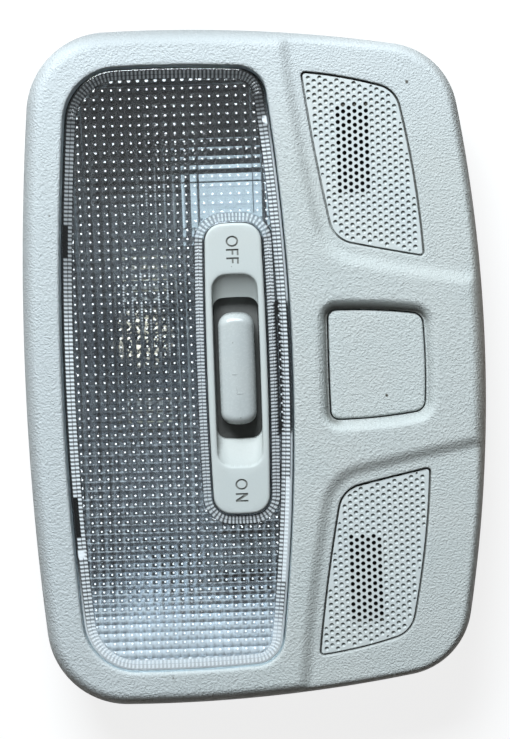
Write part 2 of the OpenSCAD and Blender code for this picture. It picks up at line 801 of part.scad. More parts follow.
module rear_housing() {
    wall_in = 1.7;
    post_r = 2.2;
    pillar_height = 15.5;
    ear_r = 4.4;
    screw_seat = 4;
    screw_well = 4;
    passage = [8, 6];
    bay_wall_x = lens_right + 1.6;
    color(white_plastic) difference() {
        union() {
            difference() {
                union() {
                    prism(lens_line(wall_in - housing_wall), 0, seat_z);
                    prism(lens_line(-flange_out), seat_z - housing_flange, seat_z);
                    box([0, -bay_y, 0], [bay_x, bay_y, seat_z]);
                    at_screws() translate([0, 0, seat_z - housing_flange])
                        cylinder(r = ear_r, h = housing_flange);
                }
                prism(lens_line(wall_in), housing_floor, seat_z + eps);
                box([bay_wall_x, housing_wall - bay_y, housing_floor],
                    [bay_x - housing_wall, bay_y - housing_wall, seat_z + eps]);
            }
            for (s = [-1, 1]) translate([pillar_x, s * roof_screw_pitch / 2, 0])
                cylinder(r = pillar_r, h = pillar_height);
            for (y = post_y) translate([lens_left + post_inset, y, 0]) cylinder(r = post_r, h = reflector_z);
        }
        for (s = [-1, 1]) translate([pillar_x, s * roof_screw_pitch / 2, -eps]) {
            cylinder(r = roof_screw_r, h = seat_z);
            translate([0, 0, screw_seat]) cylinder(r = screw_well, h = seat_z);
        }
        // passage for the busbars, and the connector's window
        box([lens_right - passage[0], -passage[0], housing_floor],
            [bay_wall_x + eps, passage[0], housing_floor + passage[1]]);
        box([bay_x - housing_wall - 1, -socket_width / 2 - eps, socket_z - eps],
            [bay_x + 1, socket_width / 2 + eps, socket_z + socket_height + eps]);
        at_screws() translate([0, 0, rim_z - 2]) cylinder(r = screw_r + 0.3, h = 5);
    }
}

module patch_holes(z0, z1) {
    for (i = [0:patch_columns - 1]) {
        rows = patch_rows + (i % 2 == 0 ? 1 : 0);
        for (j = [0:rows - 1])
            translate([patch_x + (i - (patch_columns - 1) / 2) * hole_pitch_x,
                       patch_y + (j - (rows - 1) / 2) * hole_pitch_y, z0])
                cylinder(d = hole_d, h = z1 - z0);
    }
}

module grille() {
    color(shell_grey) difference() {
        prism(grille_line(grille_lip), grille_z - grille_wall, grille_z);
        patch_holes(grille_z - grille_wall - eps, grille_z + eps);
    }
}

module mic_grille_upper() grille();

module mic_grille_lower() mirror([0, 1, 0]) grille();

holder_rim = [2.24, 1.47];
holder = [(patch_columns - 1) * hole_pitch_x + hole_d + 2 * holder_rim[0],
          patch_rows * hole_pitch_y + hole_d + 2 * holder_rim[1]];
holder_bulge = [500, 500, 500];
holder_corner = 3;
holder_height = 9;
capsule_r = 4.85;
capsule_height = 5;
sound_gap = 1;
holder_gap = 0.1;
holder_z = grille_z - grille_wall;
function holder_line(inset = 0) =
    outline(around([patch_x, patch_y], holder / 2, holder_bulge), four(holder_corner), inset);

module mic_holder() {
    color(dark_plastic) difference() {
        prism(holder_line(), holder_z - holder_height, holder_z);
        translate([patch_x, patch_y, holder_z - capsule_height - sound_gap])
            cylinder(r = capsule_r + 0.05, h = holder_height);
        translate([patch_x, patch_y, holder_z - holder_height - eps]) cylinder(r = 3, h = holder_height);
    }
}

module mic_capsule() {
    color(spring_steel) translate([patch_x, patch_y, holder_z - capsule_height - sound_gap]) difference() {
        cylinder(r = capsule_r, h = capsule_height);
        translate([0, 0, capsule_height - 0.5]) cylinder(r = 1, h = 1);
    }
}

module mic_holder_upper() mic_holder();

module mic_holder_lower() mirror([0, 1, 0]) mic_holder();

module mic_capsule_upper() mic_capsule();

module mic_capsule_lower() mirror([0, 1, 0]) mic_capsule();

module blank_cover() {
    cap_wall = 1.5;
    snap = 4;
    snap_out = 1.2;
    below = 1;
    end = cover_length / 2;
    color(shell_grey) difference() {
        union() {
            loft([[cover_line(), collar_z - below], [cover_line(), cover_z - 0.5],
                  [cover_line(0.15), cover_z - 0.15], [cover_line(0.5), cover_z]]);
            // snap lips under the collar
            mirrored_y() box([cover_x - snap, end - 1, collar_z - below],
                             [cover_x + snap, end + snap_out, collar_z - 0.1]);
        }
        prism(cover_line(cap_wall), collar_z - below - eps, cover_z - cap_wall);
    }
}

module retaining_clips() {
    sheet = 0.8;
    fit = 0.1;
    leg = 12;
    half = tower[0] / 2 + fit;
    clip_half = 3.5;
    barb = [1.6, 1.2, 6];
    color(spring_steel) mirrored_y() translate([tower_x, tower_y, tower_z]) difference() {
        union() {
            box([-half - sheet, -clip_half, -sheet - fit], [half + sheet, clip_half, leg]);
            // barbs that spring out behind the roof panel's edge
            for (s = [0, 180]) rotate([0, 0, s]) rotate([90, 0, 0])
                linear_extrude(2 * clip_half - 1, center = true)
                    polygon([[half, leg], [half + sheet + barb[0], leg - barb[1]],
                             [half + sheet, leg - barb[2]], [half, leg - barb[2]]]);
        }
        box([-half, -clip_half - 1, -fit], [half, clip_half + 1, leg + 1]);
    }
}

module housing_screws() {
    head_r = 3;
    head_height = 1.8;
    cross = [1.8, 0.35];
    color(spring_steel) at_screws() translate([0, 0, seat_z - housing_flange - head_height]) difference() {
        union() {
            cylinder(r = head_r, h = head_height);
            cylinder(r = screw_r, h = head_height + housing_flange + screw_bite);
        }
        for (a = [0, 90]) rotate([0, 0, a]) box([-cross[0], -cross[1], -eps], [cross[0], cross[1], 1]);
    }
}

bezel();
lens();
switch_plate();
switch_knob();
contact_carriage();
contact_bridge();
detent_spring();
switch_housing();
reflector();
bulb_glass();
bulb_caps();
bulb_filament();
busbar_feed();
busbar_lamp();
busbar_door();
busbar_ground();
connector_shell();
rear_housing();
mic_grille_upper();
mic_grille_lower();
mic_holder_upper();
mic_holder_lower();
mic_capsule_upper();
mic_capsule_lower();
blank_cover();
retaining_clips();
housing_screws();
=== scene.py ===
import json
import math

import bmesh
import bpy
import numpy as np
from mathutils import Matrix, Vector
from mathutils.geometry import delaunay_2d_cdt


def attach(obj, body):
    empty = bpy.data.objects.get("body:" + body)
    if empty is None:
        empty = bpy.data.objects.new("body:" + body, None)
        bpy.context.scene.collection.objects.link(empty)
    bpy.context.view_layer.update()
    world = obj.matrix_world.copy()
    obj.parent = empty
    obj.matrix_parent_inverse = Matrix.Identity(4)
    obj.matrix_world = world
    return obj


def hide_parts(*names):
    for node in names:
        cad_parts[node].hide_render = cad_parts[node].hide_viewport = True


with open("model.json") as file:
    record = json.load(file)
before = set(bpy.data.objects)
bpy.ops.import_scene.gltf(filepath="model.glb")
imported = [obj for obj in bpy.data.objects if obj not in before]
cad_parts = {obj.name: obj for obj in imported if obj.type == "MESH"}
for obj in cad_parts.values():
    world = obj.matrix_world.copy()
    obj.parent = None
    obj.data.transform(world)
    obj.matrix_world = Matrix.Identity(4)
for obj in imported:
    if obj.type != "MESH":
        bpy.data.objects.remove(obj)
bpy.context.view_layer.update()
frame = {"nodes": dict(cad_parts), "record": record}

print("stage: frame loaded")

# Lengths are in millimetres up to the making of a mesh. A shape is bounded by four large arcs, anticlockwise,
# with small corner arcs between them: corner i lies between side i and side i + 1.
levels = {
    "rim": 22.0, "seat": 24.0, "inner": 31.6, "face": 35.0, "lens": 34.4, "plate": 35.9,
    "plateBack": 28.3, "knob": 37.2, "flange": 28.0, "cover": 32.3, "collar": 26.7,
    "grille": 32.7, "grilleSeat": 31.3}
straight = 2000         # radius of a side that looks straight
squareCorners = np.array([[1, -1], [1, 1], [-1, 1], [-1, -1]], float)


def meeting(c1, r1, c2, r2):
    # where two circles meet, on the left of the line from the first centre to the second
    v = c2 - c1
    d = math.hypot(*v)
    u = v / d
    a = (d * d + r1 * r1 - r2 * r2) / (2 * d)
    return c1 + a * u + math.sqrt(r1 * r1 - a * a) * np.array([-u[1], u[0]])


def shapeOf(sides, radii):
    centres = np.array([s[0] for s in sides], float)
    reach = np.array([s[1] for s in sides], float)
    near = [meeting(centres[i], reach[i] - radii[i], centres[(i + 1) % 4], reach[(i + 1) % 4] - radii[i])
            for i in range(4)]
    return {"centres": centres, "reach": reach, "radii": np.array(radii, float), "near": np.array(near)}


def bounded(left, right, end, apexX, bulge, radii, y=0):
    # a shape between two X values, whose ends reach furthest at apexX; bulge is the radius of the right side,
    # the ends and the left side
    return shapeOf([[(right - bulge[0], y), bulge[0]], [(apexX, y + end - bulge[1]), bulge[1]],
                    [(left + bulge[2], y), bulge[2]], [(apexX, y - end + bulge[1]), bulge[1]]], radii)


def through(p, q, r):
    # the side through two points, bulging to the right of the way from p to q
    p, q = np.array(p, float), np.array(q, float)
    v = q - p
    d = math.hypot(*v)
    return [(p + q) / 2 + math.sqrt(r * r - d * d / 4) * np.array([-v[1], v[0]]) / d, r]


def mirrored(shape):
    # the same shape upside down in Y: sides and corners in the opposite order
    flip = np.array([1, -1])
    sides = [[shape["centres"][k] * flip, shape["reach"][k]] for k in (0, 3, 2, 1)]
    return shapeOf(sides, [shape["radii"][k] for k in (3, 2, 1, 0)])


def edge(shape, inset=0.0, corner=10, side=24):
    # points c + (R - inset)(cos t, sin t) along each side and each corner's arc; the inset shrinks all
    parts = []
    for i in range(4):
        j = (i + 1) % 4
        first, here, there = shape["centres"][i], shape["centres"][j], shape["near"][i]
        a = math.atan2(*(there - first)[::-1])
        b = a + (math.atan2(*(there - here)[::-1]) - a) % (2 * math.pi)
        e = b + (math.atan2(*(shape["near"][j] - here)[::-1]) - b) % (2 * math.pi)
        t = a + (b - a) * np.arange(corner + 1) / corner
        s = b + (e - b) * np.arange(1, side) / side
        r = max(shape["radii"][i] - inset, 0.05)
        parts += [there + r * np.c_[np.cos(t), np.sin(t)],
                  here + (shape["reach"][j] - inset) * np.c_[np.cos(s), np.sin(s)]]
    return np.vstack(parts)


def away(points, shape, inset=0.0):
    # signed distance from the outline, negative within: the largest |p - c| - R over the sides,
    # or |p - m| - r in the wedge of a corner's arc about m
    far = np.max([np.hypot(*(points - c).T) - r for c, r in zip(shape["centres"], shape["reach"])], axis=0)
    for i in range(4):
        m = shape["near"][i]
        p, a, b = points - m, m - shape["centres"][i], m - shape["centres"][(i + 1) % 4]
        wedge = (a[0] * p[:, 1] - a[1] * p[:, 0] >= 0) & (p[:, 0] * b[1] - p[:, 1] * b[0] >= 0)
        far = np.where(wedge, np.hypot(*p.T) - shape["radii"][i], far)
    return far + inset


def evenly(points, count=0, pitch=1.0):
    # the closed line resampled at equal steps, or at two steps to a pitch, with its outward normals
    closed = np.vstack([points, points[:1]])
    run = np.r_[0, np.cumsum(np.hypot(*np.diff(closed, axis=0).T))]
    at = np.linspace(0, run[-1], count or 2 * round(run[-1] / pitch), endpoint=False)
    even = np.c_[np.interp(at, run, closed[:, 0]), np.interp(at, run, closed[:, 1])]
    along = np.roll(even, -1, 0) - np.roll(even, 1, 0)
    along /= np.hypot(*along.T)[:, None]
    return even, np.c_[along[:, 1], -along[:, 0]]


def inside(shape, step, inset, gap):
    # the points of a square grid that lie well within the outline
    line = edge(shape)
    x, y = (np.arange(math.ceil(a / step), b / step) * step for a, b in zip(line.min(0), line.max(0)))
    spots = np.stack(np.meshgrid(x, y), -1).reshape(-1, 2)
    return spots[away(spots, shape, inset) < -gap]


def circle(count, start=0.0):
    t = np.linspace(0, 2 * math.pi, count, endpoint=False) + start
    return np.c_[np.cos(t), np.sin(t)]


def raised(points, z):
    return np.c_[points[:, :2], np.broadcast_to(z, len(points))]


def stack(shape, rows, corner, side):
    # one ring of the outline for each (inset, level)
    return [raised(edge(shape, inset, corner, side), z) for inset, z in rows]


def roll(start, reach, z, drop, count):
    # rows of a quarter ellipse: inset start + reach (1 - cos t), level z - drop (1 - sin t)
    return [(start + reach * (1 - math.cos(t)), z - drop * (1 - math.sin(t)))
            for t in np.linspace(0, math.pi / 2, count)]


def soft(x):
    # smooth step 3x^2 - 2x^3 from 0 to 1
    x = np.clip(x, 0, 1)
    return x * x * (3 - 2 * x)


def within(points, loop):
    # even-odd test of many points against one closed line, in batches that fit in memory
    low, high = loop[:, :2].min(0), loop[:, :2].max(0)
    near = np.flatnonzero(((points > low) & (points < high)).all(1))
    found = np.zeros(len(points), bool)
    x0, y0 = loop[:, 0], loop[:, 1]
    x1, y1 = np.roll(x0, -1), np.roll(y0, -1)
    slope = (x1 - x0) / np.where(y1 == y0, 1, y1 - y0)
    for part in np.array_split(near, max(1, len(near) * len(loop) // 4000000)):
        px, py = points[part, 0][:, None], points[part, 1][:, None]
        over = ((y0 > py) != (y1 > py)) & (px < x0 + (py - y0) * slope)
        found[part] = over.sum(1) % 2 == 1
    return found


def linked(name, data):
    thing = bpy.data.objects.new(name, data)
    bpy.context.scene.collection.objects.link(thing)
    return thing


class Shell:
    # gathers rings and flat-laid sheets of points, and makes one closed mesh of them
    def __init__(self):
        self.points, self.faces, self.count = [], [], 0

    def put(self, points):
        self.points.append(points)
        self.count += len(points)
        return np.arange(self.count - len(points), self.count)

    def rings(self, loops):
        rows = [self.put(loop) for loop in loops]
        for low, high in zip(rows, rows[1:]):
            self.faces += np.c_[low, np.roll(low, -1), np.roll(high, -1), high].tolist()

    def cap(self, loop):
        self.faces.append(self.put(loop).tolist())

    def solid(self, loops):
        # rings with a cap at each end
        self.rings(loops)
        self.cap(loops[0][::-1])
        self.cap(loops[-1])

    def block(self, loop, z0, z1, round0=0.0, round1=0.0):
        # an upright block on a small convex outline, with its ends drawn in by the roundings
        centre = loop.mean(0)
        reach = np.hypot(*(loop - centre).T).mean()
        rows = [(1 - round0 / reach, z0), (1, z0 + round0), (1, z1 - round1), (1 - round1 / reach, z1)]
        self.solid([raised(centre + (loop - centre) * k, z) for k, z in rows])

    def sheet(self, loops, height, inner=None, ribs=None):
        # triangles over what lies inside an odd number of the loops, through the inner points, at one height
        # or at z = height(x, y); an edge joins each pair of inner points in ribs
        flat = np.vstack([loop[:, :2] for loop in loops] + ([] if inner is None else [inner]))
        at = np.cumsum([0] + [len(loop) for loop in loops])
        ties = np.vstack([np.c_[np.arange(a, b), np.r_[np.arange(a + 1, b), a]] for a, b in zip(at, at[1:])]
                         + ([] if ribs is None else [ribs + at[-1]]))
        spots, _, faces = delaunay_2d_cdt(flat.tolist(), ties.tolist(), [], 0, 1e-6, False)[:3]
        spots, faces = np.array([tuple(p) for p in spots]), np.array(faces)
        centroids = spots[faces].mean(1)
        odd = np.zeros(len(faces), bool)
        for loop in loops:
            odd ^= within(centroids, loop)
        ids = self.put(raised(spots, height(spots) if callable(height) else height))
        self.faces += ids[faces[odd]].tolist()

    def make(self, name, finish, body, slot, *nodes, sharp=40):
        mesh = bpy.data.meshes.new(name)
        mesh.from_pydata(np.vstack(self.points) / 1000, [], self.faces)
        work = bmesh.new()
        work.from_mesh(mesh)
        bmesh.ops.remove_doubles(work, verts=work.verts, dist=3e-6)
        bmesh.ops.delete(work, geom=[v for v in work.verts if not v.link_faces], context="VERTS")
        bmesh.ops.recalc_face_normals(work, faces=work.faces)
        openEdges = sum(len(e.link_faces) != 2 for e in work.edges)
        print("  ", name, "faces", len(work.faces), "open edges", openEdges)
        work.to_mesh(mesh)
        work.free()
        mesh.shade_smooth()
        mesh.set_sharp_from_angle(angle=math.radians(sharp))
        mesh.materials.append(finish)
        piece = linked(name, mesh)
        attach(piece, body)
        if nodes:
            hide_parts(*nodes)
        return piece


def read(items, key, width=1, kind=float):
    # one property of all items, as an array
    values = np.empty(len(items) * width, kind)
    items.foreach_get(key, values)
    return values.reshape(-1, width) if width > 1 else values


def marked(piece, name, shareOf):
    # a float at each point of the piece's mesh, as a function of the points in millimetres
    mark = piece.data.attributes.new(name, "FLOAT", "POINT")
    mark.data.foreach_set("value", shareOf(read(piece.data.vertices, "co", 3) * 1000).astype(np.float32))


class Wire:
    # a socket that can stand in a sum: each operator adds one Math node
    def __init__(self, finish, socket):
        self.finish, self.socket = finish, socket

    def math(self, operation, *terms):
        return self.finish.node("ShaderNodeMath", {"operation": operation}, dict(enumerate(terms)))

    def __add__(self, other): return self.math("ADD", self, other)
    def __sub__(self, other): return self.math("SUBTRACT", self, other)
    def __rsub__(self, other): return self.math("SUBTRACT", other, self)
    def __mul__(self, other): return self.math("MULTIPLY", self, other)
    def __mod__(self, other): return self.math("FLOORED_MODULO", self, other)
    def __rmod__(self, other): return self.math("FLOORED_MODULO", other, self)
    def __gt__(self, other): return self.math("GREATER_THAN", self, other)
    def __lt__(self, other): return self.math("LESS_THAN", self, other)
    def __abs__(self): return self.math("ABSOLUTE", self)
    def root(self): return self.math("SQRT", self)
    __radd__, __rmul__ = __add__, __mul__


class Finish:
    # one material, or the world, and the nodes that are added to it
    def __init__(self, name, owner=None):
        self.material = owner or bpy.data.materials.new(name)
        self.material.use_nodes = True
        self.tree = self.material.node_tree
        self.tree.nodes.clear()

    def node(self, kind, settings=None, values=None, out=0):
        # settings first, then the value or the link of each socket; colours are given as three numbers
        made = self.tree.nodes.new(kind)
        for key, value in (settings or {}).items():
            if key == "stops":
                ramp = made.color_ramp.elements
                for k, (place, share) in enumerate(value):
                    stop = ramp[k] if k < 2 else ramp.new(place)
                    stop.position, stop.color = place, (share, share, share, 1)
            else:
                setattr(made, key, value)
        for key, value in (values or {}).items():
            socket = made.inputs[key]
            if isinstance(value, Wire):
                self.tree.links.new(value.socket, socket)
            else:
                socket.default_value = (*value, 1) if socket.type == "RGBA" else value
        return Wire(self, made.outputs[out]) if made.outputs else made

    def place(self):
        return self.node("ShaderNodeTexCoord", out="Object")

    def along(self, axis):
        # one of the object's coordinates, in millimetres
        return self.node("ShaderNodeSeparateXYZ", None, {0: self.place()}, axis) * 1000

    def spot(self, centre):
        # distance from a point of the object, in millimetres
        spot = self.node("ShaderNodeVectorMath", {"operation": "DISTANCE"},
                         {0: self.place(), 1: [c / 1000 for c in centre]}, "Value")
        return spot * 1000

    def mark(self, name):
        return self.node("ShaderNodeAttribute", {"attribute_name": name}, out="Fac")

    def noise(self, size, detail=2.0, rough=0.5, at=None):
        # cloudy value about 0.5, with lumps of that size in millimetres
        return self.node("ShaderNodeTexNoise", None, {"Vector": at or self.place(), "Scale": 1000 / size,
                                                      "Detail": detail, "Roughness": rough})

    def ramp(self, value, low, high, start=0.0, end=1.0):
        # straight change from start to end while the value goes from low to high, and none beyond
        return self.node("ShaderNodeMapRange", None, {"Value": value, 1: low, 2: high, 3: start, 4: end})

    def blend(self, share, a, b):
        return self.node("ShaderNodeMix", {"data_type": "RGBA"}, {0: share, 6: a, 7: b}, 2)

    def fade(self, colour, axis, start, end, most, other):
        # towards another colour along an axis
        return self.blend(self.ramp(self.along(axis), start, end, 0, most), colour, other)

    def bump(self, height, depth):
        # depth in millimetres
        return self.node("ShaderNodeBump", None, {"Strength": 1, "Distance": depth / 1000, "Height": height})

    def surface(self, values):
        return self.node("ShaderNodeBsdfPrincipled", None, values)

    def mix(self, share, under, over):
        return self.node("ShaderNodeMixShader", None, {0: share, 1: under, 2: over})

    def close(self, surface):
        self.node("ShaderNodeOutputMaterial", None, {"Surface": surface})
        return self.material


# A plastic: two clouded colours, a deeper one in the grain's low spots, fades of (axis, from, to, share,
# colour), which paint light and shade on some plastics, the dark colour painted as shade where the shade mark
# says so, and dark specks of dirt of (x, y, z, size, share). Sizes are in millimetres.
basePlastic = {
    "colour": (0.600, 0.640, 0.632), "other": (0.625, 0.655, 0.642), "deep": (0.50, 0.53, 0.515),
    "dirt": (0.072, 0.064, 0.048), "patch": 16, "grain": 0.56, "mottle": 0.4, "rough": 0.55,
    "depth": 0.60, "gloss": 0.25, "ink": 0.8, "fades": [], "specks": []}
plastics = {
    "shell_grey": {
        # painted light and shade: lighter and bluer towards the left and the top, darker on the top skirt,
        # darker and browner on the right skirt
        "fades": [("X", 10, -60, 0.7, (0.61, 0.655, 0.675)), ("Y", 55, 88, 0.7, (0.66, 0.705, 0.725)),
                  ("Y", 89, 94, 0.85, (0.42, 0.45, 0.46)), ("X", 60.5, 64.5, 0.75, (0.42, 0.37, 0.31))],
        "specks": [(44.7, 77.9, 33.5, 0.62, 0.9), (36.5, -9, 32.3, 0.48, 1.0), (33.9, 85.2, 35, 0.3, 0.5),
                   (-26, -86.3, 35, 0.4, 0.7), (25.2, 84.2, 35, 0.35, 0.5), (7.6, 58.6, 35, 0.3, 0.7),
                   (-55.6, 44.3, 35, 0.4, 0.6), (49.6, 30.0, 34, 0.3, 0.5)]},
    "grille_grey": {
        # painted shade: the marked hollows darkened, and near black deep in the open holes
        "colour": (0.62, 0.66, 0.66), "other": (0.64, 0.67, 0.66), "grain": 0.4, "mottle": 0.08,
        "depth": 0.02, "rough": 0.45, "ink": 0.95, "fades": [("Z", 31.9, 31.5, 0.95, (0.01, 0.01, 0.01))]},
    "switch_grey": {
        "colour": (0.58, 0.62, 0.61), "other": (0.60, 0.63, 0.61), "grain": 0.5, "mottle": 0.10,
        "depth": 0.035, "rough": 0.5, "ink": 0.7, "specks": [(-5.6, 28.6, 35.9, 0.22, 0.5)]},
    "knob_grey": {
        "colour": (0.53, 0.57, 0.57), "other": (0.56, 0.59, 0.58), "grain": 0.8, "mottle": 0.06,
        # painted shade: darker towards the right side
        "depth": 0.010, "rough": 0.26, "gloss": 0.5, "fades": [("X", -6.2, -0.6, 0.6, (0.30, 0.32, 0.32))],
        "specks": [(-6, 7.5, 37.2, 0.3, 0.5), (-4.5, -13.5, 36.9, 0.25, 0.5)]},
    "carrier_grey": {
        "colour": (0.10, 0.10, 0.095), "other": (0.12, 0.12, 0.115), "deep": (0.08, 0.08, 0.08), "grain": 1.2,
        "mottle": 0.3, "depth": 0.03, "rough": 0.5},
    "housing_dark": {
        "colour": (0.060, 0.058, 0.055), "other": (0.075, 0.072, 0.068), "deep": (0.045, 0.043, 0.04),
        "grain": 1.2, "mottle": 0.3, "depth": 0.04, "rough": 0.5},
    "housing_grey": {
        "colour": (0.40, 0.42, 0.42), "other": (0.44, 0.46, 0.46), "grain": 0.9, "mottle": 0.1, "depth": 0.03,
        "rough": 0.4, "fades": [("Y", -30, -40, 0.93, (0.05, 0.055, 0.06))]},
    "inner_white": {
        "colour": (0.74, 0.74, 0.71), "other": (0.78, 0.77, 0.74), "deep": (0.66, 0.65, 0.61), "grain": 1.2,
        "mottle": 0.15, "depth": 0.03, "rough": 0.45},
    "connector_black": {
        "colour": (0.020, 0.020, 0.022), "other": (0.030, 0.030, 0.032), "deep": (0.012, 0.012, 0.013),
        "grain": 0.6, "mottle": 0.3, "depth": 0.03, "rough": 0.42}}


def plastic(name, look):
    f = Finish(name)
    grain = f.noise(look["grain"], 2, 0.55)
    darkSpots = 1 - f.ramp(grain, 0.35, 0.65)
    colour = f.blend(f.ramp(f.noise(look["patch"], 3), 0.35, 0.65), look["colour"], look["other"])
    colour = f.blend(darkSpots * look["mottle"], colour, look["deep"])
    for fade in look["fades"]:
        colour = f.fade(colour, *fade)
    # painted shade: the dark colour where the shade mark says so
    colour = f.blend(f.mark("ink") * look["ink"], colour, look["dirt"])
    # specks of real dirt, in the same dark colour
    for x, y, z, size, dark in look["specks"]:
        ragged = f.spot((x, y, z)) + (f.noise(0.5) - 0.5) * (size * 0.9)
        colour = f.blend(f.ramp(ragged, size * 0.55, size, dark, 0), colour, look["dirt"])
    height = grain * 0.8 + f.noise(look["grain"] * 0.35, 1) * 0.2
    rough = f.ramp(grain, 0.3, 0.7, look["rough"] + 0.06, look["rough"] - 0.06)
    return f.close(f.surface({
        "Base Color": colour, "Roughness": rough, "Normal": f.bump(height, look["depth"]),
        "Specular IOR Level": look["gloss"]}))


# A metal is (colour, stain, roughness, size of the brushing, stretch).
metals = {
    "cap_metal": ((0.62, 0.61, 0.58), (0.50, 0.48, 0.44), 0.3, 0.6, (1, 8, 1)),
    "spring_steel": ((0.50, 0.51, 0.53), (0.42, 0.42, 0.43), 0.35, 0.5, (1, 6, 1)),
    "tinned_brass": ((0.70, 0.65, 0.52), (0.60, 0.50, 0.34), 0.32, 0.5, (6, 1, 1)),
    "filament": ((0.33, 0.31, 0.29), (0.25, 0.22, 0.20), 0.4, 0.2, (1, 1, 1))}


def metal(name, colour, stain, rough, brush, stretch):
    # brushed one way, with stained patches
    f = Finish(name)
    way = f.node("ShaderNodeMapping", None, {"Vector": f.place(), "Scale": stretch})
    brushed = f.noise(brush, 3, 0.6, way)
    return f.close(f.surface({
        "Base Color": f.blend(f.ramp(f.noise(9, 3), 0.45, 0.7), colour, stain), "Metallic": 1.0,
        "Roughness": f.ramp(brushed, 0.3, 0.7, rough - 0.08, rough + 0.1), "Normal": f.bump(brushed, 0.01)}))


reflector = {
    "colour": (0.040, 0.045, 0.052), "other": (0.078, 0.083, 0.090), "patch": 7, "metallic": 0.35,
    "rough": (0.30, 0.42), "ripple": 1.4, "depth": 0.03,
    "fades": [("Y", 15, 60, 0.9, (0.026, 0.022, 0.018)),       # painted shade towards the top
              ("Y", -55, -80, 0.7, (0.50, 0.56, 0.62))]}       # painted reflection of the light at the lower end


def dullMirror(name, look):
    # metallised plastic gone dull: half metal, with clouded patches
    f = Finish(name)
    cloud = f.noise(look["patch"], 4, 0.6)
    colour = f.blend(f.ramp(cloud, 0.35, 0.65), look["colour"], look["other"])
    for fade in look["fades"]:
        colour = f.fade(colour, *fade)
    return f.close(f.surface({
        "Base Color": colour, "Metallic": look["metallic"],
        "Roughness": f.ramp(cloud, 0.3, 0.7, *look["rough"]),
        "Normal": f.bump(f.noise(look["ripple"], 2), look["depth"])}))


def thinFor(f, body, cast):
    # the light that goes through to what is behind a clear piece only takes a tint
    thin = f.node("ShaderNodeBsdfTransparent", None, {"Color": cast})
    return f.close(f.mix(f.node("ShaderNodeLightPath", out="Is Shadow Ray"), body, thin))


bulb = {"colour": (0.98, 0.99, 1.0), "cast": (0.92, 0.94, 0.95), "rough": 0.02, "ior": 1.47, "depth": 0.002}


def clearGlass(name, look):
    f = Finish(name)
    body = f.surface({
        "Base Color": look["colour"], "Transmission Weight": 1.0, "IOR": look["ior"],
        "Roughness": f.ramp(f.noise(3), 0.3, 0.7, look["rough"], look["rough"] * 1.6),
        "Normal": f.bump(f.noise(2.2, 1), look["depth"])})
    return thinFor(f, body, look["cast"])


# The lens. The round places of painted shade in dark squares, of small painted glints, of the bulb's painted
# warm reflection and of painted dimming are (x, y, reach, share), and then the core if not 0.45.
prism = {
    "pitch": 2.4562, "phase": (-0.30, -0.842), "level": 34.5, "rough": 0.15, "ior": 1.585,
    "colour": (0.86, 0.90, 0.93), "cast": (0.62, 0.67, 0.70), "white": (0.92, 0.97, 1.0),
    "paintedLight": (0.56, 0.63, 0.68), "warm": (0.95, 0.90, 0.74), "dark": (0.02, 0.02, 0.02),
    "valley": (0.56, 0.88), "line": (0.34, 0.12), "dot": (0.31, 0.17), "shift": (78, -59, 0.505, 0.788),
    "topRow": (79.0, 79.5, 0, 0.22), "end": (-60, -78, 0, 0.7), "squareX": (-0.3, 0.78, 0.5),
    "squareY": (0.62, 0.58, 0.36), "streak": (0.75, 0.45), "sparkSize": (0.36, 0.2),
    "darkSpots": [(1, -57.5, 8, 0.9), (-7, -58.5, 8, 0.8), (-5, -46.5, 4, 0.8), (2, -46.5, 4, 0.8),
             (-20, 20, 8, 0.8), (-27, 41, 10, 0.5), (-32, 6, 17, 0.6), (-37, -54, 18, 0.75),
             (-21, -50, 13, 0.55), (-3, -68, 11, 0.5), (-24, -69, 13, 0.4), (-24, 58, 12, 0.4)],
    "sparks": [(-30, 22, 11, 0.55), (-24, 10, 8, 0.3), (-26, 47, 10, 0.3)],
    "paintedBulbGlint": (-31, 9.5, 9.5, 1, 0.5), "dim": (-31, 7, 26, 0.26, 6 / 26),
    "stops": [(0.0, 0.95), (0.06, 0.9), (0.12, 0.48), (0.2, 0.32), (0.3, 0.29), (0.42, 0.14),
              (0.55, 0.06), (0.66, 0.09), (0.78, 0.07), (0.9, 0.02)]}


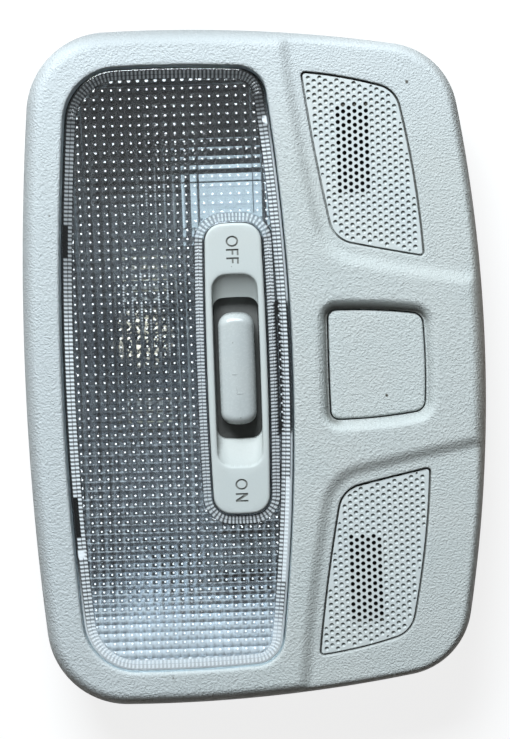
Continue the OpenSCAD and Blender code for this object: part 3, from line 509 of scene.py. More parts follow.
def prismClear(name, look):
    # clear, with painted light along the domes' valleys and middles, more towards the lower end; painted
    # shade in dark squares and a dim place; the bulb's painted warm reflection and small painted glints in
    # places; a painted highlight dot on each dome; and painted white shine where the shine mark says so
    f = Finish(name)
    p, (x0, y0) = look["pitch"], look["phase"]
    x, y = f.along("X"), f.along("Y")
    side = (x - (x0 - p / 2)) % p - p / 2             # from the middle of the dome
    rise = (y - (y0 - p / 2)) % p - p / 2
    across = abs(side)
    field, paintedShine, band = f.mark("field"), f.mark("paintedShine"), f.mark("band")
    clear = f.surface({"Base Color": look["colour"], "Transmission Weight": 1.0, "IOR": look["ior"],
                       "Roughness": look["rough"]})
    paintedLight, white, warm = (f.surface({"Base Color": look[kind], "Roughness": 0.4})
                         for kind in ("paintedLight", "white", "warm"))
    dark = f.node("ShaderNodeBsdfDiffuse", None, {"Color": look["dark"]})

    def near(x, y, reach, most, core=0.45):
        # a share that grows towards a point of the lens, and is full within the core
        return f.ramp(f.spot((x, y, look["level"])), reach, reach * core, 0, most)

    # painted light: bright lines along the lattice, stronger towards the lower end
    lattice = f.ramp(across, *look["valley"]) * 0.8 + f.ramp(abs(rise), *look["line"]) * 1.3
    share = f.node("ShaderNodeValToRGB", {"stops": look["stops"]}, {0: f.ramp(y, -85, 85)})
    uneven = f.ramp(f.noise(0.9, 3, 0.7), 0.38, 0.62, 0.25, 1.5)
    body = f.mix(f.ramp(lattice * share * uneven + f.ramp(y, *look["end"]), 0, 1) * field, clear, paintedLight)

    # painted shade: dark squares near the listed places, the dim place, and the ribbed bands
    (u, *wide), (v, *high) = look["squareX"], look["squareY"]
    square = f.ramp(abs(side - u), *wide) * f.ramp(abs(rise - v), *high)
    darkSpots = sum(near(*pit) for pit in look["darkSpots"])
    body = f.mix(f.ramp((square * darkSpots + near(*look["dim"])) * field + band * 0.75, 0, 1), body, dark)

    # the bulb's warm reflection, painted
    paintedBulbGlint = near(*look["paintedBulbGlint"]) * f.ramp(f.noise(0.9), 0.52, 0.60) * f.ramp(across, *look["streak"])
    body = f.mix(paintedBulbGlint * field * 0.8, body, warm)

    gap, step = across - p / 2, y % (p / 3) - p / 6      # painted glints, three small dots to a dome, on the valleys
    spark = f.ramp((gap * gap + step * step).root(), *look["sparkSize"]) * f.ramp(f.noise(1.6), 0.42, 0.55)
    sparks = sum(near(*place) for place in look["sparks"])
    body = f.mix(f.ramp(spark * sparks * field, 0, 1), body, white)

    lift = rise - f.ramp(y, *look["shift"])              # the painted highlight dot stands higher on the upper domes
    reach = (across * across + lift * lift).root() - f.ramp(y, *look["topRow"])
    # a painted highlight on each dome
    body = f.mix(f.ramp(reach, *look["dot"]) * field * 0.9, body, white)
    # painted white shine where the shine mark says so
    return thinFor(f, f.mix(paintedShine, body, white), look["cast"])


finishes = {name: plastic(name, basePlastic | look) for name, look in plastics.items()}
finishes |= {name: metal(name, *look) for name, look in metals.items()}
finishes |= {"reflector_silver": dullMirror("reflector_silver", reflector),
             "bulb_clear": clearGlass("bulb_clear", bulb), "lens_clear": prismClear("lens_clear", prism)}
print("stage: finishes made")

# An outline is (left, right, end, apexX, bulge, corner radii, Y), with the radii from the upper right one on.
lensLeft, lensRight = -54.1, 10.6094
switchX, coverX = lensRight - 15.6, lensRight + 23.5
plan = {
    "bezel": (-65.1, 65.1, 95.2, -28.7742, (425, 420, 800), (21, 23, 23, 21)),
    "lens": (lensLeft, lensRight, 84.7, -26.922052, (600, 380, 800), (8.5, 15.5, 15.5, 8.5)),
    "plate": (switchX - 8.375, switchX + 8.375, 40.6, switchX, (1200, 45, 1200), [5] * 4),
    "well": (switchX - 6.45, switchX + 6.45, 26.75, switchX, (straight, 60, straight), [4] * 4, -0.4),
    "pit": (switchX - 6.45, switchX + 6.45, 19.95, switchX, (straight, 60, straight), [3] * 4),
    "knob": (switchX - 5.05, switchX + 5.05, 15.55, switchX, (900, 14, 900), [3.4] * 4),
    "cover": (coverX - 13.3, coverX + 13.3, 15.15, coverX - 10, (200, 140, 900), (3, 2.2, 2.2, 3)),
    "grille": ((48.3, 29.3), (41.7, 76.1), (lensRight + 4.54, 82.0), (lensRight + 12.29, 34.8)),
    "grilleBulge": (260, 120, 510, 600), "grilleCorners": (8, 1.3, 8, 1.2), "zoneEnds": (85.1, 115.2)}
bezelShape, lensShape, plateShape, wellShape, pitShape, knobShape, coverShape = (
    bounded(*plan[name]) for name in ("bezel", "lens", "plate", "well", "pit", "knob", "cover"))
ends = plan["grille"]
grilleSides = [through(p, q, r) for p, q, r in zip(ends, ends[1:] + ends[:1], plan["grilleBulge"])]
grilleUp = shapeOf(grilleSides, plan["grilleCorners"])
zoneX, zoneY = plan["zoneEnds"]
zoneUp = shapeOf([[(zoneX - straight, 0), straight], [(0, zoneY - straight), straight],
                  [grilleSides[2][0], grilleSides[2][1] - 0.8], grilleSides[3]], [1, 1, 8, 1])
grilles = {"upper": grilleUp, "lower": mirrored(grilleUp)}
zones = {"upper": zoneUp, "lower": mirrored(zoneUp)}

# Mouths are rows of (inset, drop below the face), and walls rows of (inset, level).
console = {
    "skirt": 5.0, "land": 1.5, "wall": 2.4, "thinning": 0.4, "foot": 0.35, "zoneEdge": 4.2,
    "zoneHalf": 2.15, "zoneDrop": 1.5, "step": 0.9, "corner": 40, "side": 170,
    "rimRound": [(0.35, 0.0), (0.1, 0.1), (0.0, 0.35)],
    "lensMouth": [(-1.0, 0), (-0.6, 0.06), (-0.28, 0.25), (-0.08, 0.6), (0, 1.0)],
    "grilleMouth": [(-0.40, 0), (-0.2, 0.04), (-0.06, 0.14), (0.02, 0.32)],
    "dish": (3.3, 0.8), "dishFoot": [(-0.52, 31.97), (-0.45, 31.88)], "lip": 1.8, "collarWall": 2.85,
    "grilleShelf": 29.5, "tower": (54.1, 50, 1.5, 4.5), "towerFoot": 8, "bossRadius": 3,
    # the last pair on the next line is the painted shade on the creases, below and above the middle
    "hooks": (-52, 0, 52), "hookLevels": (21.1, 22.4), "sink": 0.2, "shadeAmount": (0.32, 0.22)}


def zoneDrop(points):
    # smooth step down into each sunken zone, across its crease
    half = console["zoneHalf"]
    return sum(console["zoneDrop"] * soft((half - away(points, zone, -console["zoneEdge"])) / (2 * half))
               for zone in zones.values())


def faceHeight(points, skirtDrop=0.0):
    # H = face - (skirt^4 + zone^4)^(1/4): the lower of the two forms with a soft shoulder between them
    return levels["face"] - (skirtDrop ** 4 + zoneDrop(points[:, :2]) ** 4) ** 0.25


def skirtRings():
    # a short upright land, then a quarter ellipse: inset s (1 - cos t), drop h (1 - sin t) below the face
    c = console
    rows = [(inset, levels["rim"] + lift) for inset, lift in c["rimRound"]]
    loops = stack(bezelShape, rows, c["corner"], c["side"])
    rise = levels["face"] - levels["rim"] - c["land"]
    for t in np.linspace(0, math.pi / 2, 15):
        ring = edge(bezelShape, c["skirt"] * (1 - math.cos(t)), c["corner"], c["side"])
        loops.append(raised(ring, faceHeight(ring, rise * (1 - math.sin(t)))))
    return loops


def innerRings():
    # the same form from within, down to the rim's foot
    c = console
    rise, width = levels["inner"] - levels["rim"] - c["land"], c["skirt"] - c["thinning"] * c["wall"]
    rows = roll(c["wall"], width, levels["inner"], rise, 7)[::-1]
    rows += [(c["wall"], levels["rim"]), (c["foot"], levels["rim"])]
    return stack(bezelShape, rows, c["corner"], c["side"])


def mouth(shape, drops, walls, corner, side):
    # the way down round a hole: first along the face, then at fixed levels
    loops = []
    for inset, drop in drops:
        ring = edge(shape, inset, corner, side)
        loops.append(raised(ring, faceHeight(ring) - drop))
    return loops + stack(shape, walls, corner, side)


def consoleShade(points):
    # painted shade, where less light falls: in the dish round the cover, most at its top and left, along the
    # grilles' edges, most at their upper edges, and on the creases
    spots, low = points[:, :2], faceHeight(points) - points[:, 2]
    x, y = spots[:, 0] - coverX, spots[:, 1]
    above = soft((y - 10) / 5)
    share = 0.12 + 0.88 * above + 0.6 * soft((-9 - x) / 4) * (1 - above)
    dish = (away(spots, coverShape, -console["dish"][0]) < 0) * soft((low - 0.5) / 2.2) * share
    fall = zoneDrop(spots + [0.07, -0.07]) - zoneDrop(spots)      # more where it turns from the light
    crease = soft(fall / 0.05) * (low < 1) * np.where(y < 0, *console["shadeAmount"])
    beside = 0
    for grille in grilles.values():
        rise = (away(spots + [0, 0.1], grille) - away(spots, grille)) / 0.1      # 1 at the upper edge
        beside = beside + (abs(away(spots, grille, -0.1)) < 0.35) * (0.3 + 0.7 * soft(rise + 0.6))
    shadeAmount = np.maximum(dish, beside * soft((low - 0.05) / 0.4))
    return np.where(points[:, 2] > 31, np.maximum(shadeAmount, crease), 0)


def makeConsole():
    shell, c = Shell(), console
    outer, inner = skirtRings(), innerRings()
    shell.rings(outer)
    shell.rings(inner)
    seat, under, lip = levels["seat"], levels["inner"], -c["lip"]
    holes = [mouth(lensShape, c["lensMouth"], [(0, seat), (lip, seat), (lip, under)], 26, 120)]
    (far, near), deep = c["dish"], levels["face"] - levels["cover"] + 0.3
    slope = [(-near - (far - near) * (1 - s), deep * (0.4 * s + 0.6 * s * s)) for s in np.linspace(0, 1, 12)]
    collar, out = levels["collar"], -c["collarWall"]
    holes.append(mouth(coverShape, slope, c["dishFoot"] + [(c["dishFoot"][-1][0], collar), (out, collar),
                                                           (out, under)], 10, 30))
    rest, shelf = levels["grilleSeat"], c["grilleShelf"]
    walls = [(0.08, levels["grille"] + 0.05), (0.15, rest), (2, rest), (2, shelf), (lip, shelf), (lip, under)]
    holes += [mouth(grille, c["grilleMouth"], walls, 14, 60) for grille in grilles.values()]
    for hole in holes:
        shell.rings(hole)
    spots = inside(bezelShape, c["step"], c["skirt"], 0.5)
    for shape, reach in [(lensShape, 1), (coverShape, far)] + [(grille, 0.45) for grille in grilles.values()]:
        spots = spots[away(spots, shape, -reach) > 0.5]
    shell.sheet([outer[-1]] + [hole[0] for hole in holes], faceHeight, spots)
    shell.sheet([inner[0]] + [hole[-1] for hole in holes], under)

    top, (hookFoot, hookTop) = under + c["sink"], c["hookLevels"]
    towerX, towerY, *towerHalf = c["tower"]
    bosses = (16.51, 22.8), lensShape["near"][0] + 15.7 * np.array([0.857, 0.515])
    for sign in (-1, 1):
        shell.block(np.array([towerX, sign * towerY]) + squareCorners * towerHalf, c["towerFoot"], top, 0.4)
        for x, y in bosses:
            shell.block(np.array([x, sign * y]) + circle(24) * c["bossRadius"], seat, top, 0.2)
    for y in c["hooks"]:
        shell.block(np.array([-58.9, y]) + squareCorners * [0.8, 4], hookFoot, top, 0.2)
        shell.block(np.array([-56.9, y]) + squareCorners * [1.4, 4], hookFoot, hookTop, 0.2, 0.2)
    piece = shell.make("console_shell", finishes["shell_grey"], "lamp", "shell_grey", "bezel")
    # painted shade in the console's dish, creases and along the grilles
    marked(piece, "ink", consoleShade)


makeConsole()
print("stage: console made")

# Painted highlights are bright spots of (x, y, reach) on the ribbed edge, and rib rows are shares of (width,
# height).
lensCover = {
    "gap": 0.5, "round": 0.7, "wall": 2.2, "side": 1.6, "ribWidth": 2.4, "ribPitch": 1.12,
    "ribHeight": 0.10, "sag": 1.0, "sink": 0.45, "cells": 6, "holeGap": 0.65, "holeBand": 2.2,
    "holePitch": 0.95, "holeHeight": 0.095, "holeLip": 1.15,
    "ribRows": [(0, 0), (0.06, 1), (0.45, 1), (0.51, 0.4), (0.57, 1), (0.94, 1), (1, 0)],
    "glintSpots": [(5.4, 69.0, 1.2), (8.0, 56.5, 0.8), (8.0, -63, 0.9), (-50.4, -50.4, 1.3)]}


def ribBand(shape, start, width, outward, pitch, height):
    # flat-sided ribs across a band beside the outline: z + h and z - h in turn, faded at the band's edges
    even, normal = evenly(edge(shape, start, 40, 160), pitch=pitch)
    wave = np.where(np.arange(len(even)) % 2 == 0, 1.0, -1.0)
    way = 1 if outward else -1
    return [np.c_[even + way * normal * width * share, levels["lens"] + height * wave * amount]
            for share, amount in lensCover["ribRows"]]


def pillowHeight(points):
    # round domes sag (1 - (a^2 + b^2) / 2) on a square lattice, a and b from -1 to 1 across a cell,
    # faded at the edges
    p, (x0, y0) = prism["pitch"], prism["phase"]
    a = 2 * (((points[:, 0] - x0) / p + 0.5) % 1) - 1
    b = 2 * (((points[:, 1] - y0) / p + 0.5) % 1) - 1
    fade = soft(lensEdges(points) / 0.5)
    return levels["lens"] + (lensCover["sag"] * (1 - (a * a + b * b) / 2) - lensCover["sink"]) * fade


def lensEdges(points):
    # distance inside the pillow field, 0 on the ribbed bands
    c = lensCover
    inset, outset = c["gap"] + c["round"] + c["ribWidth"], c["holeGap"] + c["holeBand"]
    return np.maximum(np.minimum(-away(points, lensShape, inset), away(points, plateShape, -outset)), 0)


def polishDomes(mesh):
    # exact normals on the domes: (2 sag a / p, 2 sag b / p, 1) from the middle of the corner's own cell
    p, phase = prism["pitch"], np.array(prism["phase"])
    corners = read(mesh.vertices, "co", 3)[read(mesh.loops, "vertex_index", 1, np.int32)] * 1000
    middles = np.repeat(read(mesh.polygons, "center", 3) * 1000,
                        read(mesh.polygons, "loop_total", 1, np.int32), axis=0)
    cell = np.round((middles[:, :2] - phase) / p) * p + phase
    tilt = (corners[:, :2] - cell) * 4 * lensCover["sag"] / p ** 2
    exact = np.c_[tilt, np.ones(len(tilt))] / np.sqrt(1 + (tilt ** 2).sum(1))[:, None]
    domed = (lensEdges(corners[:, :2]) > 0.5) & (corners[:, 2] > levels["lens"] - 0.6)
    normals = read(mesh.corner_normals, "vector", 3, np.float32)
    mesh.normals_split_custom_set(np.where(domed[:, None], exact, normals).tolist())


def lensPlaces(points):
    # the top, the ribbed bands, the band round the plate, and a strip beside the middle of the plate that is
    # painted dark as a shaded gap
    spots, x, y = points[:, :2], points[:, 0], points[:, 1]
    return (points[:, 2] > levels["lens"] - 0.2, lensEdges(spots) < 0.02, away(spots, plateShape, -4) < 0,
            (x > 5.5) & (x < 7.5) & (abs(y) < 18.5))


def paintedShineOf(points):
    # how white the edge is painted, as painted shine: each rib's crest, less along the top and the upper left
    # side, and not over two of the console's hooks; the rounded rim, painted with the sky's reflection at the
    # lower end and on the right, where it faces the sky; and painted highlights at bright places of the band
    x, y, z = points.T
    onTop, onBand, byPlate, strip = lensPlaces(points)
    spots, atTop = points[:, :2], soft((y - 60) / 14)
    ribs = away(spots, lensShape, 2.3) > 0
    hooks = (x < -40) & ribs & (((y > 32.3) & (y < 41.4)) | ((y > -45.2) & (y < -34.8)))
    dim = 1 - 0.88 * atTop - 0.6 * soft((-20 - x) / 20) * soft((y - 5) / 30) * (1 - atTop)
    crest = (z > levels["lens"] + 0.06) & onBand & ~strip & ~hooks
    rim = (away(spots, lensShape, lensCover["gap"] + lensCover["round"]) > 0.02) & (z > 32.5)
    right = soft((x + 10) / 10) * (1 - soft((y - 55) / 20)) * soft((abs(y) - 17) / 3)
    rimShare = 0.75 * np.maximum(soft((-50 - y) / 25), 0.8 * right)
    corner = (x > 1) & (y < -31) & (y > -60) & ~byPlate & (away(spots, lensShape, 2.4) > 0) & onTop
    shine = np.maximum(corner, 0.8 * soft((-66 - y) / 10) * onBand * onTop)
    for u, v, reach in lensCover["glintSpots"]:
        shine = np.maximum(shine, (np.hypot(x - u, y - v) < reach) * onTop * 1.5)
    return np.where(rim, rimShare, np.maximum(crest * dim * np.where(byPlate, 0.7, 1.0), 0.6 * shine))


def fieldOf(points):
    # the pillows, and the strip painted as a dark shaded gap, which has their dots too
    return ((lensEdges(points[:, :2]) > 0.01) | lensPlaces(points)[3]) & (points[:, 2] > levels["lens"] - 0.7)


def bandOf(points):
    # painted shade on the ribbed bands, dark between the crests, less at the lower end and round the plate,
    # more on the strip beside the plate
    onTop, onBand, byPlate, strip = lensPlaces(points)
    band = onTop & onBand & (away(points[:, :2], lensShape, lensCover["gap"] + lensCover["round"]) < 0.02)
    share = np.where(strip, 1.3, np.where(byPlate, 0.6, 1.0))
    return band * (1 - 0.85 * soft((-58 - points[:, 1]) / 16)) * share


def makeLens():
    shell, c = Shell(), lensCover
    top, seat, under, back = levels["lens"], levels["seat"], levels["lens"] - c["wall"], levels["plateBack"]
    start, r = c["gap"] + c["round"], c["round"]
    band = ribBand(lensShape, start, c["ribWidth"], False, c["ribPitch"], c["ribHeight"])
    base, normal = evenly(edge(lensShape, start, 40, 160), len(band[0]))
    # the outer side: up from the seat and a quarter circle over to the band's first row
    rows = [(r, seat)] + [(r - inward, z) for inward, z in roll(0, r, top, r, 6)]
    shell.rings([raised(base + normal * out, z) for out, z in rows])
    shell.rings(band)
    hole = ribBand(plateShape, -c["holeGap"], c["holeBand"], True, c["holePitch"], c["holeHeight"])
    shell.rings(hole)
    # the plate's hole: round the lip, down to the plate's back and up again behind it
    lip, lipNormal = evenly(edge(plateShape, -c["holeGap"], 40, 160), len(hole[0]))
    rows = [(0, top), (-0.25, top - 0.08), (-0.35, top - 0.35), (-0.35, back), (c["holeLip"], back),
            (c["holeLip"], under)]
    wall = [raised(lip + lipNormal * out, z) for out, z in rows]
    shell.rings(wall)
    # lattice points at sixths of a pillow, and diagonals that run out from each pillow's middle
    n, step = c["cells"], prism["pitch"] / c["cells"]
    i, j = np.meshgrid(np.arange(-24 * n, 6 * n), np.arange(-36 * n, 36 * n))
    spots = np.stack([prism["phase"][0] + (i - n / 2) * step, prism["phase"][1] + (j - n / 2) * step], -1)
    keep = (lensEdges(spots.reshape(-1, 2)) > 0.16).reshape(i.shape)
    number = np.where(keep, np.cumsum(keep).reshape(i.shape) - 1, -1)
    rising = ((i % n < n / 2) == (j % n < n / 2))[:-1, :-1]
    low = np.where(rising, number[:-1, :-1], number[:-1, 1:])
    high = np.where(rising, number[1:, 1:], number[1:, :-1])
    both = (low >= 0) & (high >= 0)
    shell.sheet([band[-1], hole[-1]], pillowHeight, spots[keep], np.c_[low[both], high[both]])
    rows = [(r, seat), (r - c["side"], seat), (r - c["side"], under)]
    foot = [raised(base + normal * out, z) for out, z in rows]
    shell.rings(foot)
    shell.sheet([foot[-1], wall[-1]], under)
    piece = shell.make("lens_cover", finishes["lens_clear"], "lamp", "lens_clear", "lens", sharp=30)
    polishDomes(piece.data)
    # marks for the painted shine, the pillow field and the bands' painted shade
    for name, shareOf in (("paintedShine", paintedShineOf), ("field", fieldOf), ("band", bandOf)):
        marked(piece, name, shareOf)


makeLens()
print("stage: lens made")

# A word is its letters, where it starts, each letter's width and the gap after it. The last triple is the
# painted shade on the letters, the upper ramp and the lower ramp.
switch = {
    "round": 0.8, "depth": 4.4, "letterDepth": 0.45, "stroke": 0.50, "letterHeight": 3.45,
    "shadeStripLow": 0.1, "shadeStripHigh": 0.25, "wellLip": [(-0.75, 0), (-0.45, 0.05), (-0.2, 0.17), (-0.05, 0.38)],
    "words": [("OFF", (-6.97, 37.1), (3.1, 1.8, 1.8), (0.55, 0.55, 0)),
              ("ON", (-6.67, -30.65), (3.1, 2.45), (0.9, 0))], "ink": (1.0, 0.34, 0.2)}


def letters(kinds, start, widths, gaps):
    # loops of each letter's outline, turned so that the word reads downwards
    h, w = switch["letterHeight"], switch["stroke"]
    loops, u = [], 0.0
    for kind, width, gap in zip(kinds, widths, gaps):
        if kind == "O":
            parts = [np.array([width, h]) / 2 + circle(40) * [width / 2 - k, h / 2 - k] for k in (0, w)]
        elif kind == "F":
            bar, reach = h * 0.44, width * 0.9
            parts = [np.array([(0, 0), (w, 0), (w, bar), (reach, bar), (reach, bar + w), (w, bar + w),
                               (w, h - w), (width, h - w), (width, h), (0, h)])]
        else:
            k = w * 1.15
            half = np.array([(0, 0), (w, 0), (w, h - 2.2 * k), (width - k, 0), (width, 0)])
            parts = [np.vstack([half, [width, h] - half])]
        loops.append([np.c_[start[0] + part[:, 1], start[1] - u - part[:, 0]] for part in parts])
        u += width + gap
    return loops


def plateShade(points):
    # painted shade on the letters' floors, and a little on the well's ramps, more on the upper one
    spots, z, top = points[:, :2], points[:, 2], levels["plate"]
    letter = ((abs(z - top + switch["letterDepth"]) < 0.02) & (away(spots, wellShape) > 0.8)
              & (away(spots, plateShape) < -1.2))
    ramp = (away(spots, wellShape) < 0.05) & (z < top - 0.3) & (z > top - 5)
    full, upper, lower = switch["ink"]
    return np.where(letter, full, ramp * np.where(spots[:, 1] > 0, upper, lower))


def makePlate():
    # the well's mouth narrows to the pit, at the level top - depth s^0.7
    shell = Shell()
    top, back, r = levels["plate"], levels["plateBack"], switch["round"]
    side = stack(plateShape, [(0, back)] + roll(0, r, top, r, 6), 10, 40)
    shell.rings(side)
    well = stack(wellShape, [(inset, top - drop) for inset, drop in switch["wellLip"]], 10, 40)
    mouthEdge, pitEdge, lip = edge(wellShape, 0, 10, 40), edge(pitShape, 0, 10, 40), switch["wellLip"][-1][1]
    well += [raised(mouthEdge * (1 - s) + pitEdge * s, top - lip - (switch["depth"] - lip) * s ** 0.7)
             for s in np.linspace(0, 1, 14)[1:]]
    well.append(raised(pitEdge, back))
    shell.rings(well)
    cuts, low = [], top - switch["letterDepth"]
    for word in switch["words"]:
        for letter in letters(*word):
            walls = [[raised(loop, top), raised(loop, low)] for loop in letter]
            for wall in walls:
                shell.rings(wall)
            cuts += [wall[0] for wall in walls]
            shell.sheet([wall[1] for wall in walls], low)
    spots = inside(plateShape, 1.4, r, 0.5)
    x, y = spots.T
    spots = spots[(away(spots, wellShape, -0.75) > 0.4)
                  & ((abs(y) > 38) | (abs(y) < 29) | (x < -7.6) | (x > -2.6))]       # clear of the words
    shell.sheet([side[-1], well[0]] + cuts, top, spots)
    shell.sheet([side[0], well[-1]], back)
    piece = shell.make("switch_cover_plate", finishes["switch_grey"], "lamp", "switch_grey", "switch_plate")
    # painted shade in the letters and on the well's ramps
    marked(piece, "ink", plateShade)


def makeShadeStrip():
    # thin dark strip that fills the gap between the plate and the lens, put there to show the gap's shade
    shell = Shell()
    low, high = levels["plateBack"] + switch["shadeStripLow"], levels["lens"] - switch["shadeStripHigh"]
    rows = [(-0.05, low), (-0.05, high), (-0.26, high), (-0.26, low), (-0.05, low)]
    shell.rings(stack(plateShape, rows, 10, 40))
    shell.make("plate_shade_strip", finishes["connector_black"], "lamp", "connector_black")


# Ticks are moulded marks of (x, y, half width, half height) on the knob's top.
knob = {
    "inset": 2.6, "drop": 3.0, "crown": 0.10, "crownReach": 2.4, "tick": 0.12, "flangeHalf": (6.3, 24.75),
    "flangeWall": 1.2, "flangeRound": 0.15,
    "ticks": [(-5.75, -1.3, 0.75, 0.16), (-4.5, -6.7, 1.0, 0.16), (-5.3, -5.9, 0.16, 0.7)]}


def crownHeight(points):
    # the top less crown s^2, where s grows from 0 inside to 1 at the edge
    share = np.clip(1 + away(points[:, :2], knobShape, knob["inset"]) / knob["crownReach"], 0, 1)
    return levels["knob"] - knob["tick"] - knob["crown"] * share ** 2


def makeKnob():
    # a pill: quarter ellipse over the edge and a slight crown on its top
    shell = Shell()
    top, crown = levels["knob"] - knob["tick"], knob["crown"]
    rows = [(0, levels["flange"])] + roll(0, knob["inset"], top - crown, knob["drop"] - crown, 12)
    body = stack(knobShape, rows, 12, 30)
    shell.rings(body)
    shell.sheet([body[-1]], crownHeight, inside(knobShape, 0.6, knob["inset"], 0.3))
    shell.cap(body[0][::-1])
    for x, y, halfWidth, halfHeight in knob["ticks"]:
        shell.solid([raised([x, y] + circle(20) * [halfWidth * k, halfHeight * k], top + z)
                     for k, z in ((1, -0.3), (1, 0.04), (0.8, knob["tick"]), (0.5, knob["tick"]))])
    shell.make("slide_knob", finishes["knob_grey"], "knob", "knob_grey", "switch_knob")


def makeCarrier():
    # the flat flange that guides the knob, in the dark below the plate
    shell = Shell()
    top, under, r = levels["flange"], levels["flange"] - knob["flangeWall"], knob["flangeRound"]
    x, y = knob["flangeHalf"]
    shape = bounded(switchX - x, switchX + x, y, switchX, [straight] * 3, [0.6] * 4)
    shell.solid(stack(shape, [(r, under), (0, under + r), (0, top - r), (r, top)], 4, 12))
    shell.make("knob_carrier", finishes["carrier_grey"], "knob", "connector_black")


makePlate()
makeShadeStrip()
makeKnob()
makeCarrier()
print("stage: switch made")

# The patch of open holes has its middle at "patch", and so many columns and rows.
grilleLook = {
    "lip": 0.55, "wall": 1.4, "round": 0.14, "pitch": (1.575, 1.91), "hole": 1.32, "blind": 0.72,
    "sides": 12, "margin": 0.38, "clear": 0.03, "patch": (29.195, 59.9), "columns": 6,
    "halfRows": 6}


def grilleShade(points, sign):
    # painted shade in the open holes, and on the upper half of each dimple, where the light never comes
    g = grilleLook
    first = g["patch"][0] - (g["columns"] - 1) / 2 * g["pitch"][0]
    column = np.round((points[:, 0] - first) / g["pitch"][0])
    row = (points[:, 1] * sign - g["patch"][1]) / g["pitch"][1] - 0.5 * (column % 2)
    rise = (row - np.round(row)) * g["pitch"][1] * sign
    opened = (column >= 0) & (column < g["columns"]) & (abs(row) < g["halfRows"] + 0.2)
    return (points[:, 2] < levels["grille"] - 0.05) * np.where(opened, 1, soft((rise + 0.1) / 0.35))


def makeGrille(side):
    # a lattice of round dimples, every second column half a pitch up, smaller where the edge cuts in,
    # and open holes in the patch
    shell, g = Shell(), grilleLook
    sign, shape = 1 if side == "upper" else -1, grilles[side]
    top, bottom = levels["grille"], levels["grille"] - g["wall"]
    rim = stack(shape, [(g["lip"], bottom)] + roll(g["lip"], g["round"], top, g["round"], 4), 12, 40)
    shell.rings(rim)
    i, j = np.meshgrid(np.arange(-14, 20), np.arange(-30, 30))
    row = j + np.where(i % 2 == 0, 0.0, 0.5)
    spots = np.c_[(g["patch"][0] + (i - (g["columns"] - 1) / 2) * g["pitch"][0]).ravel(),
                  ((g["patch"][1] + row * g["pitch"][1]) * sign).ravel()]
    opened = ((i >= 0) & (i < g["columns"]) & (abs(row) <= g["halfRows"])).ravel()
    room = -away(spots, shape, g["lip"]) - g["round"] - g["clear"]
    keep = room > g["margin"]
    scale = np.minimum(room / (g["hole"] / 2), 1)
    disc = circle(g["sides"], 0.1) * g["hole"] / 2
    mouths, feet = [], []
    for spot, isOpen, k in zip(spots[keep], opened[keep], scale[keep]):
        if isOpen:
            rows = [(0.93, top), (0.9, top - 0.1), (0.9, bottom)]
        else:
            rows = [(k, top), (0.86 * k, top - 0.55 * g["blind"]), (0.5 * k, top - g["blind"])]
        loops = [raised(spot + disc * share, z) for share, z in rows]
        shell.rings(loops)
        mouths.append(loops[0])
        if isOpen:
            feet.append(loops[-1])
        else:
            shell.cap(loops[-1])
    shell.sheet([rim[-1]] + mouths, top)
    shell.sheet([rim[0]] + feet, bottom)
    piece = shell.make("grille_" + side, finishes["grille_grey"], "lamp", "grille_grey", "mic_grille_" + side)
    # painted shade in the holes and on the dimples' upper halves
    marked(piece, "ink", lambda points: grilleShade(points, sign))


cover = {"round": 0.75, "wall": 1.5, "below": 1.0, "snap": (4, 1.2)}


def makeCover():
    # a square cap with a rolled edge, a hollow back and a snap at each end
    shell = Shell()
    top, foot, r = levels["cover"], levels["collar"] - cover["below"], cover["round"]
    rows = [(cover["wall"], top - cover["wall"]), (cover["wall"], foot), (0, foot)] + roll(0, r, top, r, 6)
    body = stack(coverShape, rows, 10, 24)
    shell.rings(body)
    shell.sheet([body[-1]], top, inside(coverShape, 2.0, r, 1))
    shell.sheet([body[0]], top - cover["wall"])
    halfWide, reach = cover["snap"]
    for sign in (-1, 1):
        middle = np.array([coverX, sign * (plan["cover"][2] - 1 + (1 + reach) / 2)])
        half = [halfWide, (1 + reach) / 2]
        shell.block(middle + squareCorners * half, foot, levels["collar"] - 0.1, 0.3, 0.1)
    shell.make("blank_cap", finishes["shell_grey"], "lamp", "shell_grey", "blank_cover")


for side in grilles:
    makeGrille(side)
makeCover()
print("stage: grilles and cover made")

# The solids that stay take the finish of their own slot, apart from the dark ones.
darkNodes = ("rear_housing", "mic_capsule_upper", "mic_capsule_lower")
replaced = ("shell_grey", "grille_grey", "switch_grey", "knob_grey", "lens_clear")
for part in frame["record"]["subparts"]:
    node, slot = part["node"], part["material_slot"]
    if slot not in replaced:
        for place in frame["nodes"][node].material_slots:
            place.material = finishes["housing_dark" if node in darkNodes else slot]
print("stage: inner parts finished")

studio = {
    "keyPlace": (-0.16, 0.62, 0.68), "keyTarget": (0, 0, 0.03), "keySize": 0.42, "keyPower": 13.8,
    "keyColour": (0.87, 0.95, 1.0), "fill": (0.024, 0.018, 0.013), "fillStrength": 1.0,
    "ceiling": (0.15, 0.55, 1.0, 0.22), "floorHalf": 2.0, "floorLevel": -0.0004,
    "floor": (0.20, 0.20, 0.20), "floorGlow": 0.84, "floorUnseen": (0.18, 0.145, 0.11)}


def paleFor(f):
    # 1 for rays that show the background: camera, glossy and transmission rays before any diffuse bounce
    camera, glossy, clear = (f.node("ShaderNodeLightPath", out="Is " + kind + " Ray")
                             for kind in ("Camera", "Glossy", "Transmission"))
    direct = f.node("ShaderNodeLightPath", out="Diffuse Depth") < 0.5
    return (camera + glossy + clear > 0.5) * direct


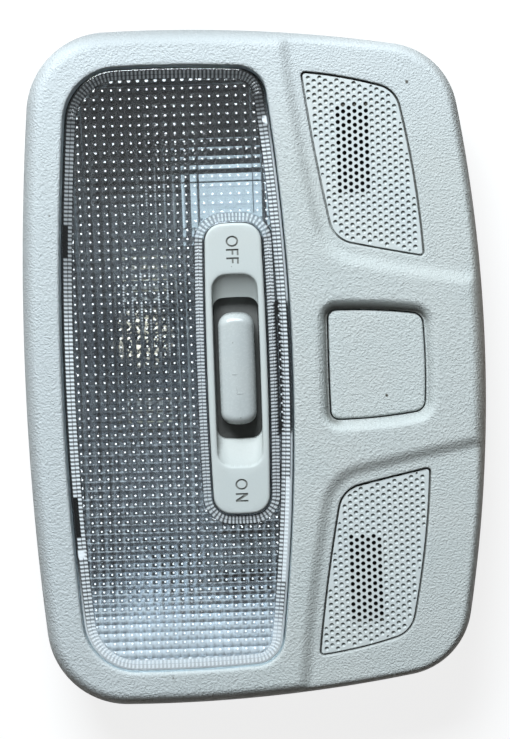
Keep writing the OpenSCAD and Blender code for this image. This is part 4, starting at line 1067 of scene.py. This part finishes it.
def makeFloor():
    mesh = bpy.data.meshes.new("floor")
    mesh.from_pydata(raised(squareCorners * studio["floorHalf"], studio["floorLevel"]), [], [(0, 1, 2, 3)])
    f = Finish("floor")
    pale = f.node("ShaderNodeAddShader", None, {
        0: f.node("ShaderNodeBsdfDiffuse", None, {"Color": studio["floor"]}),
        1: f.node("ShaderNodeEmission", None, {"Color": (1, 1, 1), "Strength": studio["floorGlow"]})})
    unseen = f.node("ShaderNodeBsdfDiffuse", None, {"Color": studio["floorUnseen"]})
    mesh.materials.append(f.close(f.mix(paleFor(f), unseen, pale)))
    linked("floor", mesh)


def makeWorld():
    # white round the horizon, and a grey ceiling overhead
    world = bpy.data.worlds.new("studio")
    bpy.context.scene.world = world
    f = Finish("studio", world)
    up = f.node("ShaderNodeSeparateXYZ", None, {0: f.node("ShaderNodeTexCoord", out="Generated")}, "Z")
    overhead = f.ramp(up, *studio["ceiling"])
    white = f.node("ShaderNodeBackground", None, {"Color": (1, 1, 1), "Strength": overhead})
    fill = f.node("ShaderNodeBackground", None, {"Color": studio["fill"], "Strength": studio["fillStrength"]})
    f.node("ShaderNodeOutputWorld", None, {"Surface": f.mix(paleFor(f), fill, white)})


def makeKey():
    light = bpy.data.lights.new("key", "AREA")
    light.shape, light.size = "SQUARE", studio["keySize"]
    light.energy, light.color = studio["keyPower"], studio["keyColour"]
    lamp = linked("key", light)
    lamp.location = studio["keyPlace"]
    lamp.rotation_mode = "QUATERNION"
    lamp.rotation_quaternion = (Vector(studio["keyTarget"]) - lamp.location).to_track_quat("-Z", "Y")


view = {"place": (0.0, 0.044, 0.700), "target": (-0.0001, -0.0003, 0.035), "roll": 2.0, "lens": 116.62}


def makeCamera():
    # the camera's up is the object's +Y turned clockwise by the roll, seen from above
    data = bpy.data.cameras.new("camera")
    data.lens, data.sensor_width, data.sensor_fit = view["lens"], 36, "AUTO"
    data.clip_start, data.clip_end = 0.01, 20
    camera = linked("camera", data)
    place, turn = Vector(view["place"]), math.radians(view["roll"])
    forward = (Vector(view["target"]) - place).normalized()
    right = forward.cross(Vector((math.sin(turn), math.cos(turn), 0))).normalized()
    up = right.cross(forward)
    camera.matrix_world = Matrix.Translation(place) @ Matrix((right, up, -forward)).transposed().to_4x4()
    bpy.context.scene.camera = camera


makeFloor()
makeWorld()
makeKey()
makeCamera()
bpy.context.scene.view_settings.view_transform = "Standard"
print("stage: floor, light and camera made")
